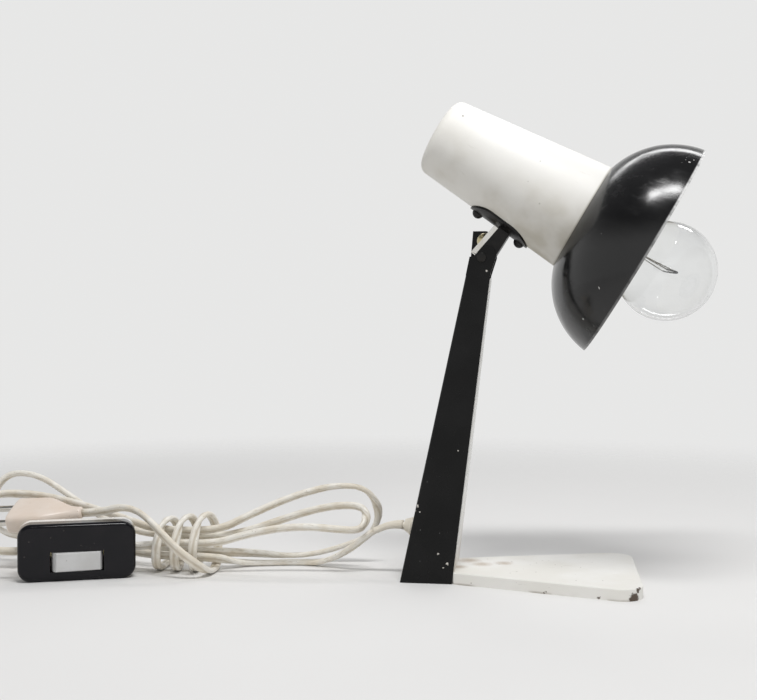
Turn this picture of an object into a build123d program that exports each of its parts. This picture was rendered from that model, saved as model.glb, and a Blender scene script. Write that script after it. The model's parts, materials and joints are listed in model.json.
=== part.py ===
from build123d import *
import math
import os

# A bedside lamp in enamelled sheet steel, in millimetres.
# The origin is under the base plate, at the middle of the column's front foot edge.
# +X is the lamp's front, +Y its left side, and +Z is up.

# Base plate
base_len = 111.0
base_w_rear = 46.0
base_w_front = 116.0
base_t = 7.0
base_corner_r = 13.0
base_edge_r = 0.8
base_gap = 0.2
tail_len = 28.4

# Column: a folded sheet that narrows upwards and leans forward
sheet = 1.2
col_foot_depth = 31.6
col_foot_half = 23.0
col_knee_z = 186.0
col_rear_slope = 40.8 / 196.0
col_front_slope = 22.5 / 190.0
ear_half = 8.0
fold_r = 2.0
front_sheet = 1.0
front_proud = 0.5
front_top_gap = 2.0
front_foot_len = 25.0

# Ears at the top of the column, as heights and distances from the column's foot
ear_notch_z = 197.2
fin_top_z = 213.8
fin_top_len = 9.8

# Tilt hinge
pivot_x = 16.75
pivot_z = 196.8
pin_r = 1.6
pin_head_r = 3.0
pin_head_h = 0.9
fit = 0.05
run_fit = 0.08
bush_r = 4.1
bush_side_gap = 0.2
washer_r = 3.95
washer_t = 0.7

# Head bracket and its clamp leaf, in the knuckle frame: x along the leaf, z to the leaf's side
leaf_angle = 48.7
cheek_half = 5.8
cheek_t = 1.4
cheek_r = 5.5
leg_front = 5.75
leg_front_top = 3.4
leg_len = 22.0
web_from = 7.0
leaf_gap = 0.1
leaf_t = 3.0
leaf_half = 6.3
leaf_low = 1.8
leaf_len = 28.0
leaf_flare_from = 19.6
leaf_flare_half = 12.4
clamp_at = 8.85
clamp_head_r = 4.65
clamp_head_h = 3.3
clamp_shank_r = 2.0
clamp_len = 7.4
clamp_nut_w = 7.0
clamp_nut_h = 3.2

# Head: x runs along the shade's axis from the seam between barrel and bell
seam_x = 77.4
seam_z = 221.0
head_pitch = 30.6
barrel_len = 102.0
barrel_r_back = 24.0
barrel_r_seam = 34.0
barrel_wall = 1.0
barrel_back_r = 6.0
bell_depth = 42.0
bell_rim_r = 69.0
bell_mid_x = 13.6
bell_mid_r = 55.6
bell_t = 1.0
collar_len = 9.0

# Saddle plate under the barrel and the strap inside it
saddle_at = -40.6
saddle_len = 42.0
saddle_w = 30.0
saddle_t = 1.2
saddle_screw_pitch = 31.0
screw_r = 2.0
screw_head_r = 3.5
screw_head_h = 3.0
screw_hole_r = 2.15
nut_af = 7.0
nut_h = 3.2
strap_w = 14.0
strap_t = 1.5
strap_notch_half = 4.2
strap_notch_top = -17.0
wire_hole_r = 3.2
wire_hole_at = 3.6
hole_reach = 20.0

# Lampholder and bulb, along an axis that sags a little below the shade's
holder_droop = 1.5
holder_root = -60.0
strap_up_at = 24.5
holder_from = 26.0
holder_to = 69.0
holder_r = 19.0
holder_ring_r = 19.8
holder_ring_from = 53.0
holder_bore_r = 14.3
holder_bore_from = 40.0
sleeve_t = 0.5
insert_h = 3.5
nipple_r = 5.0
nipple_bore_r = 3.6
nipple_tail = 10.5
contact_rise = 4.0
bulb_r = 30.0
bulb_len = 105.5
bulb_foot = holder_bore_from + contact_rise
bulb_tip = bulb_foot + bulb_len
bulb_cap_len = 27.0
bulb_cap_r = 13.2
bulb_neck_r = 12.4
glass_t = 0.8
stem_len = 30.0
stem_rod_len = 8.0
wire_gap = 0.2
wire_r = 0.35
filament_r = 0.5
filament_half = 11.0

# Cord: a flat twin, drawn as a round tube of the same section area
cord_d = 4.7
core_r = 1.2
core_half_pitch = 1.6
core_split_pitch = 1.25
lead_z = 30.4
grommet_r = 5.8
grommet_flange = 2.6
grommet_nose = 6.0
grommet_neck_r = 4.2

# In-line switch, standing on its long edge
sw_len = 70.0
sw_high = 35.0
sw_front_t = 12.0
sw_back_t = 10.0
sw_wall = 1.8
sw_corner_r = 8.0
sw_edge_r = 3.0
sw_turn = 21.8
sw_x = -230.6
sw_y = -34.8
rocker_half = 15.5
rocker_high = 11.4
rocker_z = 12.0
rocker_pin_y = -5.0
rocker_pin_r = 1.2
rocker_face = 8.9
rocker_heel = 3.2
rocker_crown = 0.5
rocker_edge_r = 0.8
rocker_tilt = 5.0
rocker_gap = 0.4

# Two-pin plug, lying on the hank
plug_len = 46.0
plug_w = 28.0
plug_t = 13.0
plug_tail_w = 9.0
plug_tail_t = 8.0
plug_roll = 20.0
plug_pin_r = 2.0
plug_pin_len = 19.0
plug_pin_pitch = 19.0
plug_tail_at = (-236.0, -13.0, 36.0)
plug_dir = (0.998, 0.040, 0.052)

# Hank of cord: its waist, the ring of strands that pass through it, and the wraps round them
waist = (-169.0, -8.0, 17.5)
waist_half = 20.0
ring_r = 8.4
ring_first = 25.0
ring_strands = 5
wrap_r = 14.7
wrap_grow = 0.8
wrap_turns = 3
wrap_pitch = 12.0
wrap_first_x = -187.0
wrap_sides = 6


def col_rear_x(z):
    """Rear face of the column at height z."""
    return -col_foot_depth + col_rear_slope * z


def col_front_x(z):
    """Front edge of the column's side walls at height z."""
    return col_front_slope * z


def col_half(z):
    """Half the column's width at height z."""
    return col_foot_half + (ear_half - col_foot_half) * min(z / col_knee_z, 1.0)


def barrel_r(x):
    """Outer radius of the barrel at x along the shade's axis."""
    return barrel_r_seam + (barrel_r_seam - barrel_r_back) * x / barrel_len


taper = math.degrees(math.atan((barrel_r_seam - barrel_r_back) / barrel_len))
head = Location((seam_x, 0, seam_z), (0, head_pitch, 0))
saddle = head * Location((saddle_at, 0, -barrel_r(saddle_at)), (0, taper, 0))
holder = head * Location((holder_root, 0, 0), (0, holder_droop, 0))
knuckle = Location((pivot_x, 0, pivot_z), (0, -leaf_angle, 0))
leaf_face = bush_r + leaf_gap


def box(x0, x1, y0, y1, z0, z1):
    """A box between two corners."""
    size = Box(x1 - x0, y1 - y0, z1 - z0)
    return Pos((x0 + x1) / 2, (y0 + y1) / 2, (z0 + z1) / 2) * size


def rod(radius, y0, y1):
    """A cylinder along Y."""
    return Pos(0, (y0 + y1) / 2, 0) * Rot(90, 0, 0) * Cylinder(radius, y1 - y0)


def turned(*points):
    """A solid turned about X from an (x, radius) outline."""
    return revolve(Plane.XZ * make_face(Polyline(*points, close=True)), Axis.X)


def plate(outline, y0, y1):
    """A plate cut to an (x, z) outline, from y0 to y1."""
    face = Plane.XZ * make_face(Polyline(*outline, close=True))
    return Pos(0, y1, 0) * extrude(face, y1 - y0)


def cone_shell(x0, x1, inner, outer):
    """A conical shell that follows the barrel, inner to outer from its outer face."""
    k = 1 / math.cos(math.radians(taper))
    return turned(
        (x0, barrel_r(x0) + inner * k),
        (x1, barrel_r(x1) + inner * k),
        (x1, barrel_r(x1) + outer * k),
        (x0, barrel_r(x0) + outer * k),
    )


def hexagon_nut(across, height, bore):
    """A nut standing on z = 0."""
    body = extrude(RegularPolygon(across / 2, 6, major_radius=False), height)
    return body - Cylinder(bore, 4 * height)


def round_head(radius, height):
    """A slotted round head standing on z = 0."""
    big = (radius**2 + height**2) / (2 * height)
    dome = Pos(0, 0, height - big) * Sphere(big)
    head_body = dome & (Pos(0, 0, height / 2) * Cylinder(radius + 1, height))
    slot = Pos(0, 0, height) * Box(3 * radius, 0.25 * radius, 0.7 * height)
    return head_body - slot


def base_plate():
    rear = col_front_x(base_t) + base_gap
    wide = make_face(Polyline(
        (rear, -base_w_rear / 2), (base_len, -base_w_front / 2),
        (base_len, base_w_front / 2), (rear, base_w_rear / 2), close=True,
    ))
    front = wide.vertices().group_by(Axis.X)[-1]
    wide = fillet(front, base_corner_r)
    body = extrude(wide, base_t)
    top_edges = body.faces().sort_by(Axis.Z)[-1].edges()
    body = fillet(top_edges.filter_by_position(Axis.X, rear + 1, base_len + 1), base_edge_r)
    tail_half = col_half(base_t) - sheet - base_gap
    body += box(-tail_len, rear + 0.5, -tail_half, tail_half, 0, base_t)
    for x, y in base_screw_places():
        body -= Pos(x, y, base_t / 2) * Cylinder(screw_hole_r, 2 * base_t)
        body -= Pos(x, y, 1.2) * Cone(4.0, screw_hole_r, 2.4)
    return body


def base_screw_places():
    return [(-13.0, -12.0), (-13.0, 12.0)]


def base_screws():
    made = []
    for x, y in base_screw_places():
        cap = Pos(x, y, 1.2) * Cone(3.9, screw_r, 2.4)
        shank = Pos(x, y, (base_t + front_sheet + nut_h) / 2 + 0.8) * Cylinder(
            screw_r, base_t + front_sheet + nut_h
        )
        slot = Pos(x, y, 0) * Box(7, 1, 1.6)
        made.append(cap + shank - slot)
    return Compound(children=made)


def base_nuts():
    nut = hexagon_nut(nut_af, nut_h, screw_r + fit)
    top = base_t + front_sheet
    return Compound(children=[Pos(x, y, top) * nut for x, y in base_screw_places()])


def column_section(z, inset, front_over):
    """The column's outline at height z, drawn in by inset, its front moved out by front_over."""
    rear = col_rear_x(z) + inset
    front = col_front_x(z) + front_over
    half = col_half(z) - inset
    face = make_face(Polyline((rear, -half), (front, -half), (front, half), (rear, half), close=True))
    return Pos(0, 0, z) * fillet(face.vertices().group_by(Axis.X)[0], fold_r - inset * 0.9)


def ear(top_outline, side):
    """One side wall above the column's knee, as a flat ear."""
    low = [
        (col_front_x(col_knee_z), col_knee_z), (col_rear_x(col_knee_z), col_knee_z),
    ]
    y0, y1 = sorted((side * ear_half, side * (ear_half - sheet)))
    body = plate(low + top_outline, y0, y1)
    front = body.edges().filter_by(Axis.Y).filter_by_position(Axis.X, pivot_x, 99)
    front = front.filter_by_position(Axis.Z, col_knee_z + 1, 999)
    return fillet(front, 3.0)


def column_shell():
    outer = loft([column_section(0, 0, 0), column_section(col_knee_z, 0, 0)], ruled=True)
    inner = loft([column_section(0, sheet, 9), column_section(col_knee_z, sheet, 9)], ruled=True)
    body = outer - inner
    front = [(pivot_x + 8.9, pivot_z + 0.5), (pivot_x + 7.0, pivot_z + 6.6)]
    slant = leaf_face - 0.5
    notch_x = pivot_x - 4.6
    near_top = [
        (col_rear_x(ear_notch_z), ear_notch_z), (notch_x, ear_notch_z),
        (pivot_x + 6.6 * math.cos(math.radians(leaf_angle)) - slant * math.sin(math.radians(leaf_angle)),
         pivot_z + 6.6 * math.sin(math.radians(leaf_angle)) + slant * math.cos(math.radians(leaf_angle))),
    ]
    fin_x = 10.7
    far_top = [
        (col_rear_x(196.0), 196.0), (fin_x, fin_top_z), (fin_x + fin_top_len, fin_top_z),
    ]
    body += ear(near_top + front[::-1], -1)
    body += ear(far_top + front[::-1], 1)
    body -= Pos(pivot_x, 0, pivot_z) * rod(pin_r + fit, -20, 20)
    body -= grommet_frame() * Cylinder(grommet_neck_r + fit, 12)
    return body


def column_front():
    """The white front sheet: a strip with side lips and a foot that lies on the base plate."""
    top = col_knee_z - front_top_gap
    proud = front_proud

    def section(z, depth, side_in):
        x = col_front_x(z) + proud
        half = col_half(z) - sheet - 0.1 - side_in
        return Pos(0, 0, z) * make_face(
            Polyline((x - depth, -half), (x, -half), (x, half), (x - depth, half), close=True)
        )

    lip = 6.0
    channel = loft([section(base_t, lip, 0), section(top, lip, 0)], ruled=True)
    pocket = Pos(-front_sheet, 0, 0) * loft(
        [section(base_t, lip + 9, front_sheet), section(top, lip + 9, front_sheet)], ruled=True
    )
    body = channel - pocket
    half = col_half(base_t) - sheet - 1.4
    x = col_front_x(base_t) + proud
    foot = box(x - front_foot_len, x - 0.2, -half, half, base_t, base_t + front_sheet)
    for sx, sy in base_screw_places():
        foot -= Pos(sx, sy, base_t) * Cylinder(screw_hole_r, 9)
    return body + foot


def hinge_pin():
    body = rod(pin_r, -ear_half - 0.1, ear_half + 0.1)
    for side in (-1, 1):
        end = side * ear_half
        cap = rod(pin_head_r, min(end, end + side * pin_head_h), max(end, end + side * pin_head_h))
        rim = cap.edges().group_by(Axis.Y)[0 if side < 0 else -1]
        body += fillet(rim, 0.5)
    return Pos(pivot_x, 0, pivot_z) * body


def hinge_bush():
    half = cheek_half - cheek_t - bush_side_gap
    return Pos(pivot_x, 0, pivot_z) * (rod(bush_r, -half, half) - rod(pin_r + fit, -20, 20))


def hinge_washers():
    gap = (ear_half - sheet - cheek_half - washer_t) / 2
    y0 = cheek_half + gap
    ring = rod(washer_r, y0, y0 + washer_t) - rod(pin_r + fit, -20, 20)
    mirrored = mirror(ring, Plane.XZ)
    return Pos(pivot_x, 0, pivot_z) * Compound(children=[ring, mirrored])


def under_saddle(extra=0.0):
    """The space above the saddle plate's underside, to trim what stands under it."""
    over = (saddle_t + extra) / math.cos(math.radians(taper))
    return head * turned(
        (-barrel_len, 0), (0, 0), (0, barrel_r(0) + over),
        (-barrel_len, barrel_r(-barrel_len) + over),
    )


def head_bracket():
    """A folded channel from the saddle down to the hinge, open on the leaf's side."""
    outline = [
        (0, -cheek_r), (web_from, -leg_front), (leg_len, -leg_front_top),
        (leg_len, leaf_face), (0, leaf_face),
    ]
    body = plate(outline, -cheek_half, cheek_half)
    round_end = rod(cheek_r, -cheek_half, cheek_half) & box(-9, 9, -9, 9, -9, leaf_face)
    body += round_end
    inner = cheek_half - cheek_t
    body -= box(-9, web_from, -inner, inner, -9, 9)
    hollow = [
        (web_from - 1, -leg_front + cheek_t), (leg_len + 5, -leg_front_top + cheek_t),
        (leg_len + 5, 9), (web_from - 1, 9),
    ]
    body -= plate(hollow, -inner, inner)
    body -= rod(pin_r + run_fit, -20, 20)
    return knuckle * body - under_saddle()


def clamp_leaf():
    outline = make_face(Polyline(
        (-leaf_low, -leaf_half), (leaf_flare_from, -leaf_half),
        (leaf_flare_from + 2.5, -leaf_flare_half), (leaf_len, -leaf_flare_half),
        (leaf_len, leaf_flare_half), (leaf_flare_from + 2.5, leaf_flare_half),
        (leaf_flare_from, leaf_half), (-leaf_low, leaf_half), close=True,
    ))
    low = outline.vertices().group_by(Axis.X)[0]
    body = Pos(0, 0, leaf_face) * extrude(fillet(low, 2.0), leaf_t)
    body -= Pos(clamp_at, 0, leaf_face) * Cylinder(clamp_shank_r + fit, 20)
    return knuckle * body - under_saddle()


def clamp_screw():
    top = leaf_face + leaf_t
    body = Pos(clamp_at, 0, top) * round_head(clamp_head_r, clamp_head_h)
    body += Pos(clamp_at, 0, top - clamp_len / 2 + 0.1) * Cylinder(clamp_shank_r, clamp_len)
    return knuckle * body


def clamp_nut():
    wide = 2 * (cheek_half - cheek_t - bush_side_gap)
    body = box(
        clamp_at - clamp_nut_w / 2, clamp_at + clamp_nut_w / 2,
        -wide / 2, wide / 2, leaf_face - clamp_nut_h, leaf_face,
    )
    body -= Pos(clamp_at, 0, leaf_face) * Cylinder(clamp_shank_r + fit, 20)
    return knuckle * body


def saddle_screw_places():
    return [-saddle_screw_pitch / 2, saddle_screw_pitch / 2]


def saddle_holes():
    """Clearance holes through saddle plate, barrel and strap, in the saddle frame."""
    cut = Pos(wire_hole_at, 0, 0) * Cylinder(wire_hole_r, hole_reach)
    for x in saddle_screw_places():
        cut += Pos(x, 0, 0) * Cylinder(screw_hole_r, hole_reach)
    return saddle * cut


def saddle_plate():
    reach = saddle_len / 2 + 4
    shell = head * cone_shell(saddle_at - reach, saddle_at + reach, 0, saddle_t)
    oval = saddle * extrude(RectangleRounded(saddle_len, saddle_w, saddle_w * 0.46), 9, both=True)
    return (shell & oval) - saddle_holes()


def saddle_screws():
    grip = barrel_wall + strap_t + nut_h + 1.0
    made = []
    for x in saddle_screw_places():
        cap = Pos(x, 0, -saddle_t) * Rot(180, 0, 0) * round_head(screw_head_r, screw_head_h)
        shank = Pos(x, 0, (grip - saddle_t) / 2) * Cylinder(screw_r, grip + saddle_t + 0.1)
        made.append(cap + shank)
    return saddle * Compound(children=made)


def saddle_nuts():
    nut = hexagon_nut(nut_af, nut_h, screw_r + fit)
    seat = barrel_wall + strap_t + 0.3
    return saddle * Compound(children=[Pos(x, 0, seat) * nut for x in saddle_screw_places()])


def barrel():
    k = 1 / math.cos(math.radians(taper))
    back = -barrel_len
    wall = barrel_wall * k
    face = make_face(Polyline(
        (back, 0), (back, barrel_r_back), (0, barrel_r_seam), (0, barrel_r_seam - wall),
        (back + barrel_wall, barrel_r(back + barrel_wall) - wall), (back + barrel_wall, 0), close=True,
    ))
    outer = face.vertices().sort_by_distance((back, barrel_r_back))[0]
    face = fillet(outer, barrel_back_r)
    inner = face.vertices().sort_by_distance((back + barrel_wall, barrel_r_back - wall))[0]
    face = fillet(inner, barrel_back_r - barrel_wall)
    return head * revolve(Plane.XZ * face, Axis.X) - saddle_holes()


def circle_through(a, b, c):
    """Centre and radius of the circle through three points."""
    ax, ay = a
    bx, by = b
    cx, cy = c
    d = 2 * (ax * (by - cy) + bx * (cy - ay) + cx * (ay - by))
    ux = ((ax**2 + ay**2) * (by - cy) + (bx**2 + by**2) * (cy - ay) + (cx**2 + cy**2) * (ay - by)) / d
    uy = ((ax**2 + ay**2) * (cx - bx) + (bx**2 + by**2) * (ax - cx) + (cx**2 + cy**2) * (bx - ax)) / d
    return (ux, uy), math.hypot(ax - ux, ay - uy)


def bell():
    """A spun bell: one arc from the seam to the rim, and a collar that fits inside the barrel."""
    start = (0, barrel_r_seam)
    middle = (bell_mid_x, bell_mid_r)
    rim = (bell_depth, bell_rim_r)
    centre, radius = circle_through(start, middle, rim)

    def inward(point):
        k = (radius - bell_t) / radius
        return (centre[0] + (point[0] - centre[0]) * k, centre[1] + (point[1] - centre[1]) * k)

    k = 1 / math.cos(math.radians(taper))
    throat = barrel_r_seam - barrel_wall * k
    inner_start = inward(start)
    lip_x = inner_start[0]
    collar_r = barrel_r(-collar_len) - barrel_wall * k
    edges = [
        ThreePointArc(start, middle, rim),
        Line(rim, inward(rim)),
        ThreePointArc(inward(rim), inward(middle), inner_start),
        Line(inner_start, (lip_x, throat - bell_t)),
        Line((lip_x, throat - bell_t), (-collar_len, collar_r - bell_t)),
        Line((-collar_len, collar_r - bell_t), (-collar_len, collar_r)),
        Line((-collar_len, collar_r), (0, throat)),
        Line((0, throat), start),
    ]
    return head * revolve(Plane.XZ * make_face(edges), Axis.X)


def holder_strap():
    """The strap inside the barrel: a foot that follows the wall and an upright for the nipple."""
    reach = saddle_screw_pitch / 2 + 6
    foot = head * cone_shell(
        saddle_at - reach, saddle_at + reach, -barrel_wall - strap_t, -barrel_wall - fit
    )
    foot &= saddle * box(-reach + 0.5, reach - 0.5, -strap_w / 2, strap_w / 2, -2, 12)
    x = strap_up_at
    upright = box(x, x + strap_t, -strap_w / 2, strap_w / 2, -barrel_r_seam, 0)
    upright += Pos(x + strap_t / 2, 0, 0) * Rot(0, 90, 0) * Cylinder(11, strap_t)
    upright -= Pos(x, 0, 0) * Rot(0, 90, 0) * Cylinder(nipple_r + fit, 9)
    notch = strap_notch_half
    upright -= box(x - 1, x + 4, -notch, notch, -barrel_r_seam - 1, strap_notch_top)
    bore = turned(
        (-barrel_len, 0), (0, 0), (0, barrel_r(0) - barrel_wall - 0.2),
        (-barrel_len, barrel_r(-barrel_len) - barrel_wall - 0.2),
    )
    upright = (holder * upright) & (head * bore)
    return foot + upright - saddle_holes()


def holder_nipple():
    tube = turned(
        (holder_from - nipple_tail, nipple_bore_r), (holder_from + 4, nipple_bore_r),
        (holder_from + 4, nipple_r), (holder_from - nipple_tail, nipple_r),
    )
    return holder * tube


def nipple_nut():
    nut = hexagon_nut(14, 4, nipple_r + fit)
    return holder * Pos(strap_up_at - 4, 0, 0) * Rot(0, 90, 0) * nut


def holder_body():
    rear, front = holder_from, holder_ring_from
    outline = [
        (rear, nipple_r + fit), (rear, 12), (rear + 7, 17), (rear + 11, holder_r), (front, holder_r),
        (front, holder_bore_r + 1.6), (holder_bore_from - insert_h, holder_bore_r + 1.6),
        (holder_bore_from - insert_h, 11), (rear + 5, 9), (rear + 5, nipple_r + fit),
    ]
    return holder * turned(*outline)


def holder_ring():
    x0, x1 = holder_ring_from, holder_to
    body = turned(
        (x0, holder_bore_r + 0.1), (x0, holder_r), (x0 + 2, holder_ring_r), (x1 - 2, holder_ring_r),
        (x1, holder_ring_r - 2), (x1, holder_bore_r + 0.1),
    )
    return holder * body


def holder_insert():
    x0, x1 = holder_bore_from - insert_h, holder_bore_from
    body = turned((x0, 0), (x1, 0), (x1, holder_bore_r + 1.5), (x0, holder_bore_r + 1.5))
    return holder * body


def holder_sleeve():
    x0, x1 = holder_bore_from, holder_to - 2
    outer = holder_bore_r
    body = turned((x0, outer - sleeve_t), (x1, outer - sleeve_t), (x1, outer), (x0, outer))
    return holder * body


def holder_contact():
    """A springy brass strip, bent up under the bulb's tip."""
    floor = holder_bore_from
    tip = bulb_foot
    strip = plate(
        [(floor, -8), (floor + 0.6, -8), (floor + 0.6, -4.2), (tip, -1.4), (tip, 2),
         (tip - 0.6, 2), (tip - 0.6, -0.8), (floor, -3.4)],
        -2.5, 2.5,
    )
    return holder * strip


def bulb_outline(inset):
    """Half outline of the glass, drawn in by inset, from the cap to the tip."""
    r = bulb_r - inset
    centre = bulb_tip - bulb_r
    rim = bulb_foot + bulb_cap_len
    joint = math.radians(130)
    neck = (rim + 9, 14.0 - inset)
    meet = (centre + r * math.cos(joint), r * math.sin(joint))
    along = (math.sin(joint), -math.cos(joint))
    foot = (rim - 6, bulb_neck_r - inset)
    return [
        Line((foot[0], 0), foot),
        Line(foot, (rim, bulb_neck_r - inset)),
        Line((rim, bulb_neck_r - inset), neck),
        Bezier(neck, (neck[0] + 9, neck[1] + 1.6),
               (meet[0] - 8 * along[0], meet[1] - 8 * along[1]), meet),
        ThreePointArc(meet, (centre, r), (centre + r, 0)),
        Line((centre + r, 0), (foot[0], 0)),
    ]


def bulb_glass():
    outer = revolve(Plane.XZ * make_face(bulb_outline(0)), Axis.X)
    inner = revolve(Plane.XZ * make_face(bulb_outline(glass_t)), Axis.X)
    rim = bulb_foot + bulb_cap_len
    mouth = turned((rim - 7, 0), (rim - 4, 0), (rim - 4, bulb_neck_r - glass_t), (rim - 7, bulb_neck_r - glass_t))
    return holder * (outer - inner - mouth)


def bulb_cap():
    tip = bulb_foot
    rim = tip + bulb_cap_len
    outline = [
        (tip + 3, 6), (tip + 5, bulb_cap_r - 2.5), (tip + 7, bulb_cap_r), (rim, bulb_cap_r),
        (rim, bulb_neck_r), (rim - 8, bulb_neck_r), (rim - 10, bulb_neck_r - 1),
        (tip + 7, bulb_neck_r - 1), (tip + 4.2, 6),
    ]
    return holder * turned(*outline)


def bulb_contact():
    tip = bulb_foot
    outline = [(tip, 0), (tip, 3.5), (tip + 1, 4.8), (tip + 3, 6), (tip + 4.2, 6), (tip + 4.2, 0)]
    return holder * turned(*outline)


def stem_ends():
    """Where the glass stem starts at the cap's rim, and where its button is."""
    foot = bulb_foot + bulb_cap_len - 4
    return foot, foot + stem_len


def bulb_stem():
    """The glass flare and rod that carry the filament's wires."""
    foot, top = stem_ends()
    inner = bulb_neck_r - glass_t
    pinch = top - stem_rod_len
    outline = [
        (foot, 0), (foot, inner), (foot + 2, inner - 1.5), (foot + 8, 4.6), (pinch, 3.4),
        (pinch + 2, 1.8), (top - 2, 1.6), (top - 1.6, 2.3), (top, 2.0), (top, 0),
    ]
    return holder * turned(*outline)


def filament_points():
    """The filament's arch: ends near the axis of the globe, middle further out."""
    x = bulb_tip - bulb_r - 1
    count = 5
    made = []
    for i in range(count):
        turn = math.pi * i / (count - 1)
        made.append((x + 7 * math.sin(turn), -filament_half * math.cos(turn), 2.5 * math.sin(turn)))
    return made


def bent_rod(points, radius):
    """A thin round wire along straight runs."""
    path = Polyline(*points) if len(points) > 2 else Line(*points)
    start = Plane(origin=path @ 0, z_dir=path % 0)
    return sweep(start * Circle(radius), path=path, transition=Transition.RIGHT)


def bulb_filament():
    return holder * bent_rod(filament_points(), filament_r)


def bulb_wires():
    """Two lead-in wires and three thin supports, from the stem to the filament."""
    foot, top = stem_ends()
    arch = filament_points()
    start_x = top - stem_rod_len - 1
    made = []
    for end, side in ((arch[0], -1), (arch[-1], 1)):
        near = Vector(*end) + Vector(0, side * (filament_r + wire_r + wire_gap), 0)
        root_y = side * (3.45 + wire_r + wire_gap)
        made.append(bent_rod([(start_x, root_y, 0), (top - 2, side * 5.5, 0), tuple(near)], wire_r))
    for point in arch[1:-1]:
        aim = Vector(*point)
        start = Vector(top + wire_r + wire_gap, aim.Y * 0.12, aim.Z * 0.2)
        stop = aim + (start - aim).normalized() * (filament_r + wire_r + wire_gap / 2)
        made.append(bent_rod([tuple(start), tuple(stop)], wire_r))
    return holder * Compound(children=made)


def corner_radii(points):
    """For each corner, 0.45 of the shorter run over the tangent of half the turn."""
    radii = []
    for before, corner, after in zip(points, points[1:], points[2:]):
        into = Vector(*corner) - Vector(*before)
        out = Vector(*after) - Vector(*corner)
        half_turn = math.radians(into.get_angle(out) / 2)
        radii.append(0.45 * min(into.length, out.length) / math.tan(half_turn))
    return radii


def tube(points, diameter, name=None):
    """A round cord along straight runs joined by tangent arcs, and its path."""
    radii = corner_radii(points)
    path = FilletPolyline(*points, radius=radii) if len(points) > 2 else Line(*points)
    start = Plane(origin=path @ 0, z_dir=path % 0)
    body = sweep(start * Circle(diameter / 2), path=path)
    if name:
        ideal = math.pi * diameter**2 / 4 * path.length
        print(name, "length", round(path.length, 1), "volume over section times length",
              round(body.volume / ideal, 4))
        print("  corner radii", [round(r, 1) for r in radii])
    return body, path


def head_to_world(x, y, z):
    return tuple((head * Pos(x, y, z)).position)


def holder_to_world(x, y, z):
    return tuple((holder * Pos(x, y, z)).position)


def knuckle_to_world(x, y, z):
    return tuple((knuckle * Pos(x, y, z)).position)


def head_cores():
    """Two insulated cores, from the lampholder out through the saddle into the bracket."""
    made = []
    for side in (-1, 1):
        y = side * core_half_pitch
        points = [
            holder_to_world(holder_from + 5.2, y, 0),
            holder_to_world(holder_from - nipple_tail - 2, y, 0),
            head_to_world(-60, y, -1),
            head_to_world(-67, y, -8),
            head_to_world(-63, y, -15),
            head_to_world(-53, y, -19),
            head_to_world(-43, y, -22),
            knuckle_to_world(26.5, y, 1.4),
            knuckle_to_world(18.5, y, 0.0),
            knuckle_to_world(11.5, y, -2.1),
            knuckle_to_world(5.6, y, -3.0),
        ]
        made.append(tube(points, 2 * core_r)[0])
    return Compound(children=made)


def column_cord_points():
    return [
        grommet_point(0), grommet_point(-11), (-6.5, 0, 38), (-4.5, 0, 62),
        (1.5, 0, 100), (8.4, 0, 145), (12.6, 0, 168),
    ]


def grommet_frame():
    """Frame on the column's rear face, its z pointing out of the wall."""
    lean = math.degrees(math.atan(col_rear_slope))
    return Location((col_rear_x(lead_z), 0, lead_z), (0, -90 + lean, 0))


def grommet_point(out):
    return tuple((grommet_frame() * Pos(0, 0, out)).position)


def cord_grommet():
    bore = cord_d / 2 + fit
    outline = [
        (-sheet - 1.6, bore), (-sheet - 1.6, 5.2), (-sheet, 5.2), (-sheet, grommet_neck_r),
        (0, grommet_neck_r), (0, grommet_r), (grommet_flange - 0.8, grommet_r),
        (grommet_flange, grommet_r - 0.8), (grommet_nose, bore + 1.1), (grommet_nose, bore),
    ]
    ring = revolve(Plane.XZ * make_face(Polyline(*outline, close=True)), Axis.X)
    return grommet_frame() * Rot(0, -90, 0) * ring


def column_cord():
    return tube(column_cord_points(), cord_d, "column_cord")[0]


def column_cores():
    """The twin's two cores, split for their last stretch below the hinge."""
    made = []
    end = Vector(*column_cord_points()[-1])
    along = (end - Vector(*column_cord_points()[-2])).normalized()
    for side in (-1, 1):
        y = Vector(0, side * core_split_pitch, 0)
        top = Vector(*knuckle_to_world(-4.5, 0, -6.2))
        points = [tuple(end + y), tuple(end + along * 8 + y), tuple(top + y)]
        made.append(tube(points, 2 * core_r)[0])
    return Compound(children=made)


def slot(number):
    """A strand's place in the hank's waist, as (y, z), counted from the far side upwards."""
    a = math.radians(ring_first + 360 * number / ring_strands)
    return waist[1] + ring_r * math.cos(a), waist[2] + ring_r * math.sin(a)


def waist_point(number, side):
    """A strand's place where it enters or leaves the waist."""
    return (waist[0] + side * waist_half, *slot(number))


def leg(number, side, reach, far, spread=1.0, bow=1.0, hump=0.0):
    """Points along one leg of a loop, from the edge of the waist outwards.

    The leg moves from its slot to far, a (y, z), by powers of a sine, and may rise in the middle.
    """
    made = []
    x0, y0, z0 = waist_point(number, side)
    for f in (0.0, 0.2, 0.42, 0.64, 0.84):
        ease = math.sin(math.radians(90 * f))
        x = x0 + side * (reach - waist_half) * f
        y = y0 + (far[0] - y0) * ease**spread
        z = z0 + (far[1] - z0) * ease**bow + hump * math.sin(math.radians(180 * f))
        made.append((x, y, z))
    return made


def turn_round(side, reach, far_out, far_back):
    """The rounded end of a loop, between the far ends of its two legs."""
    dy, dz = far_back[0] - far_out[0], far_back[1] - far_out[1]
    bulge = 0.3 * math.hypot(dy, dz)
    made = []
    for k in (0.06, 0.34, 0.66, 0.94):
        x = waist[0] + side * (reach + bulge * math.sin(math.pi * k))
        made.append((x, far_out[0] + dy * k, far_out[1] + dz * k))
    return made


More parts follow.
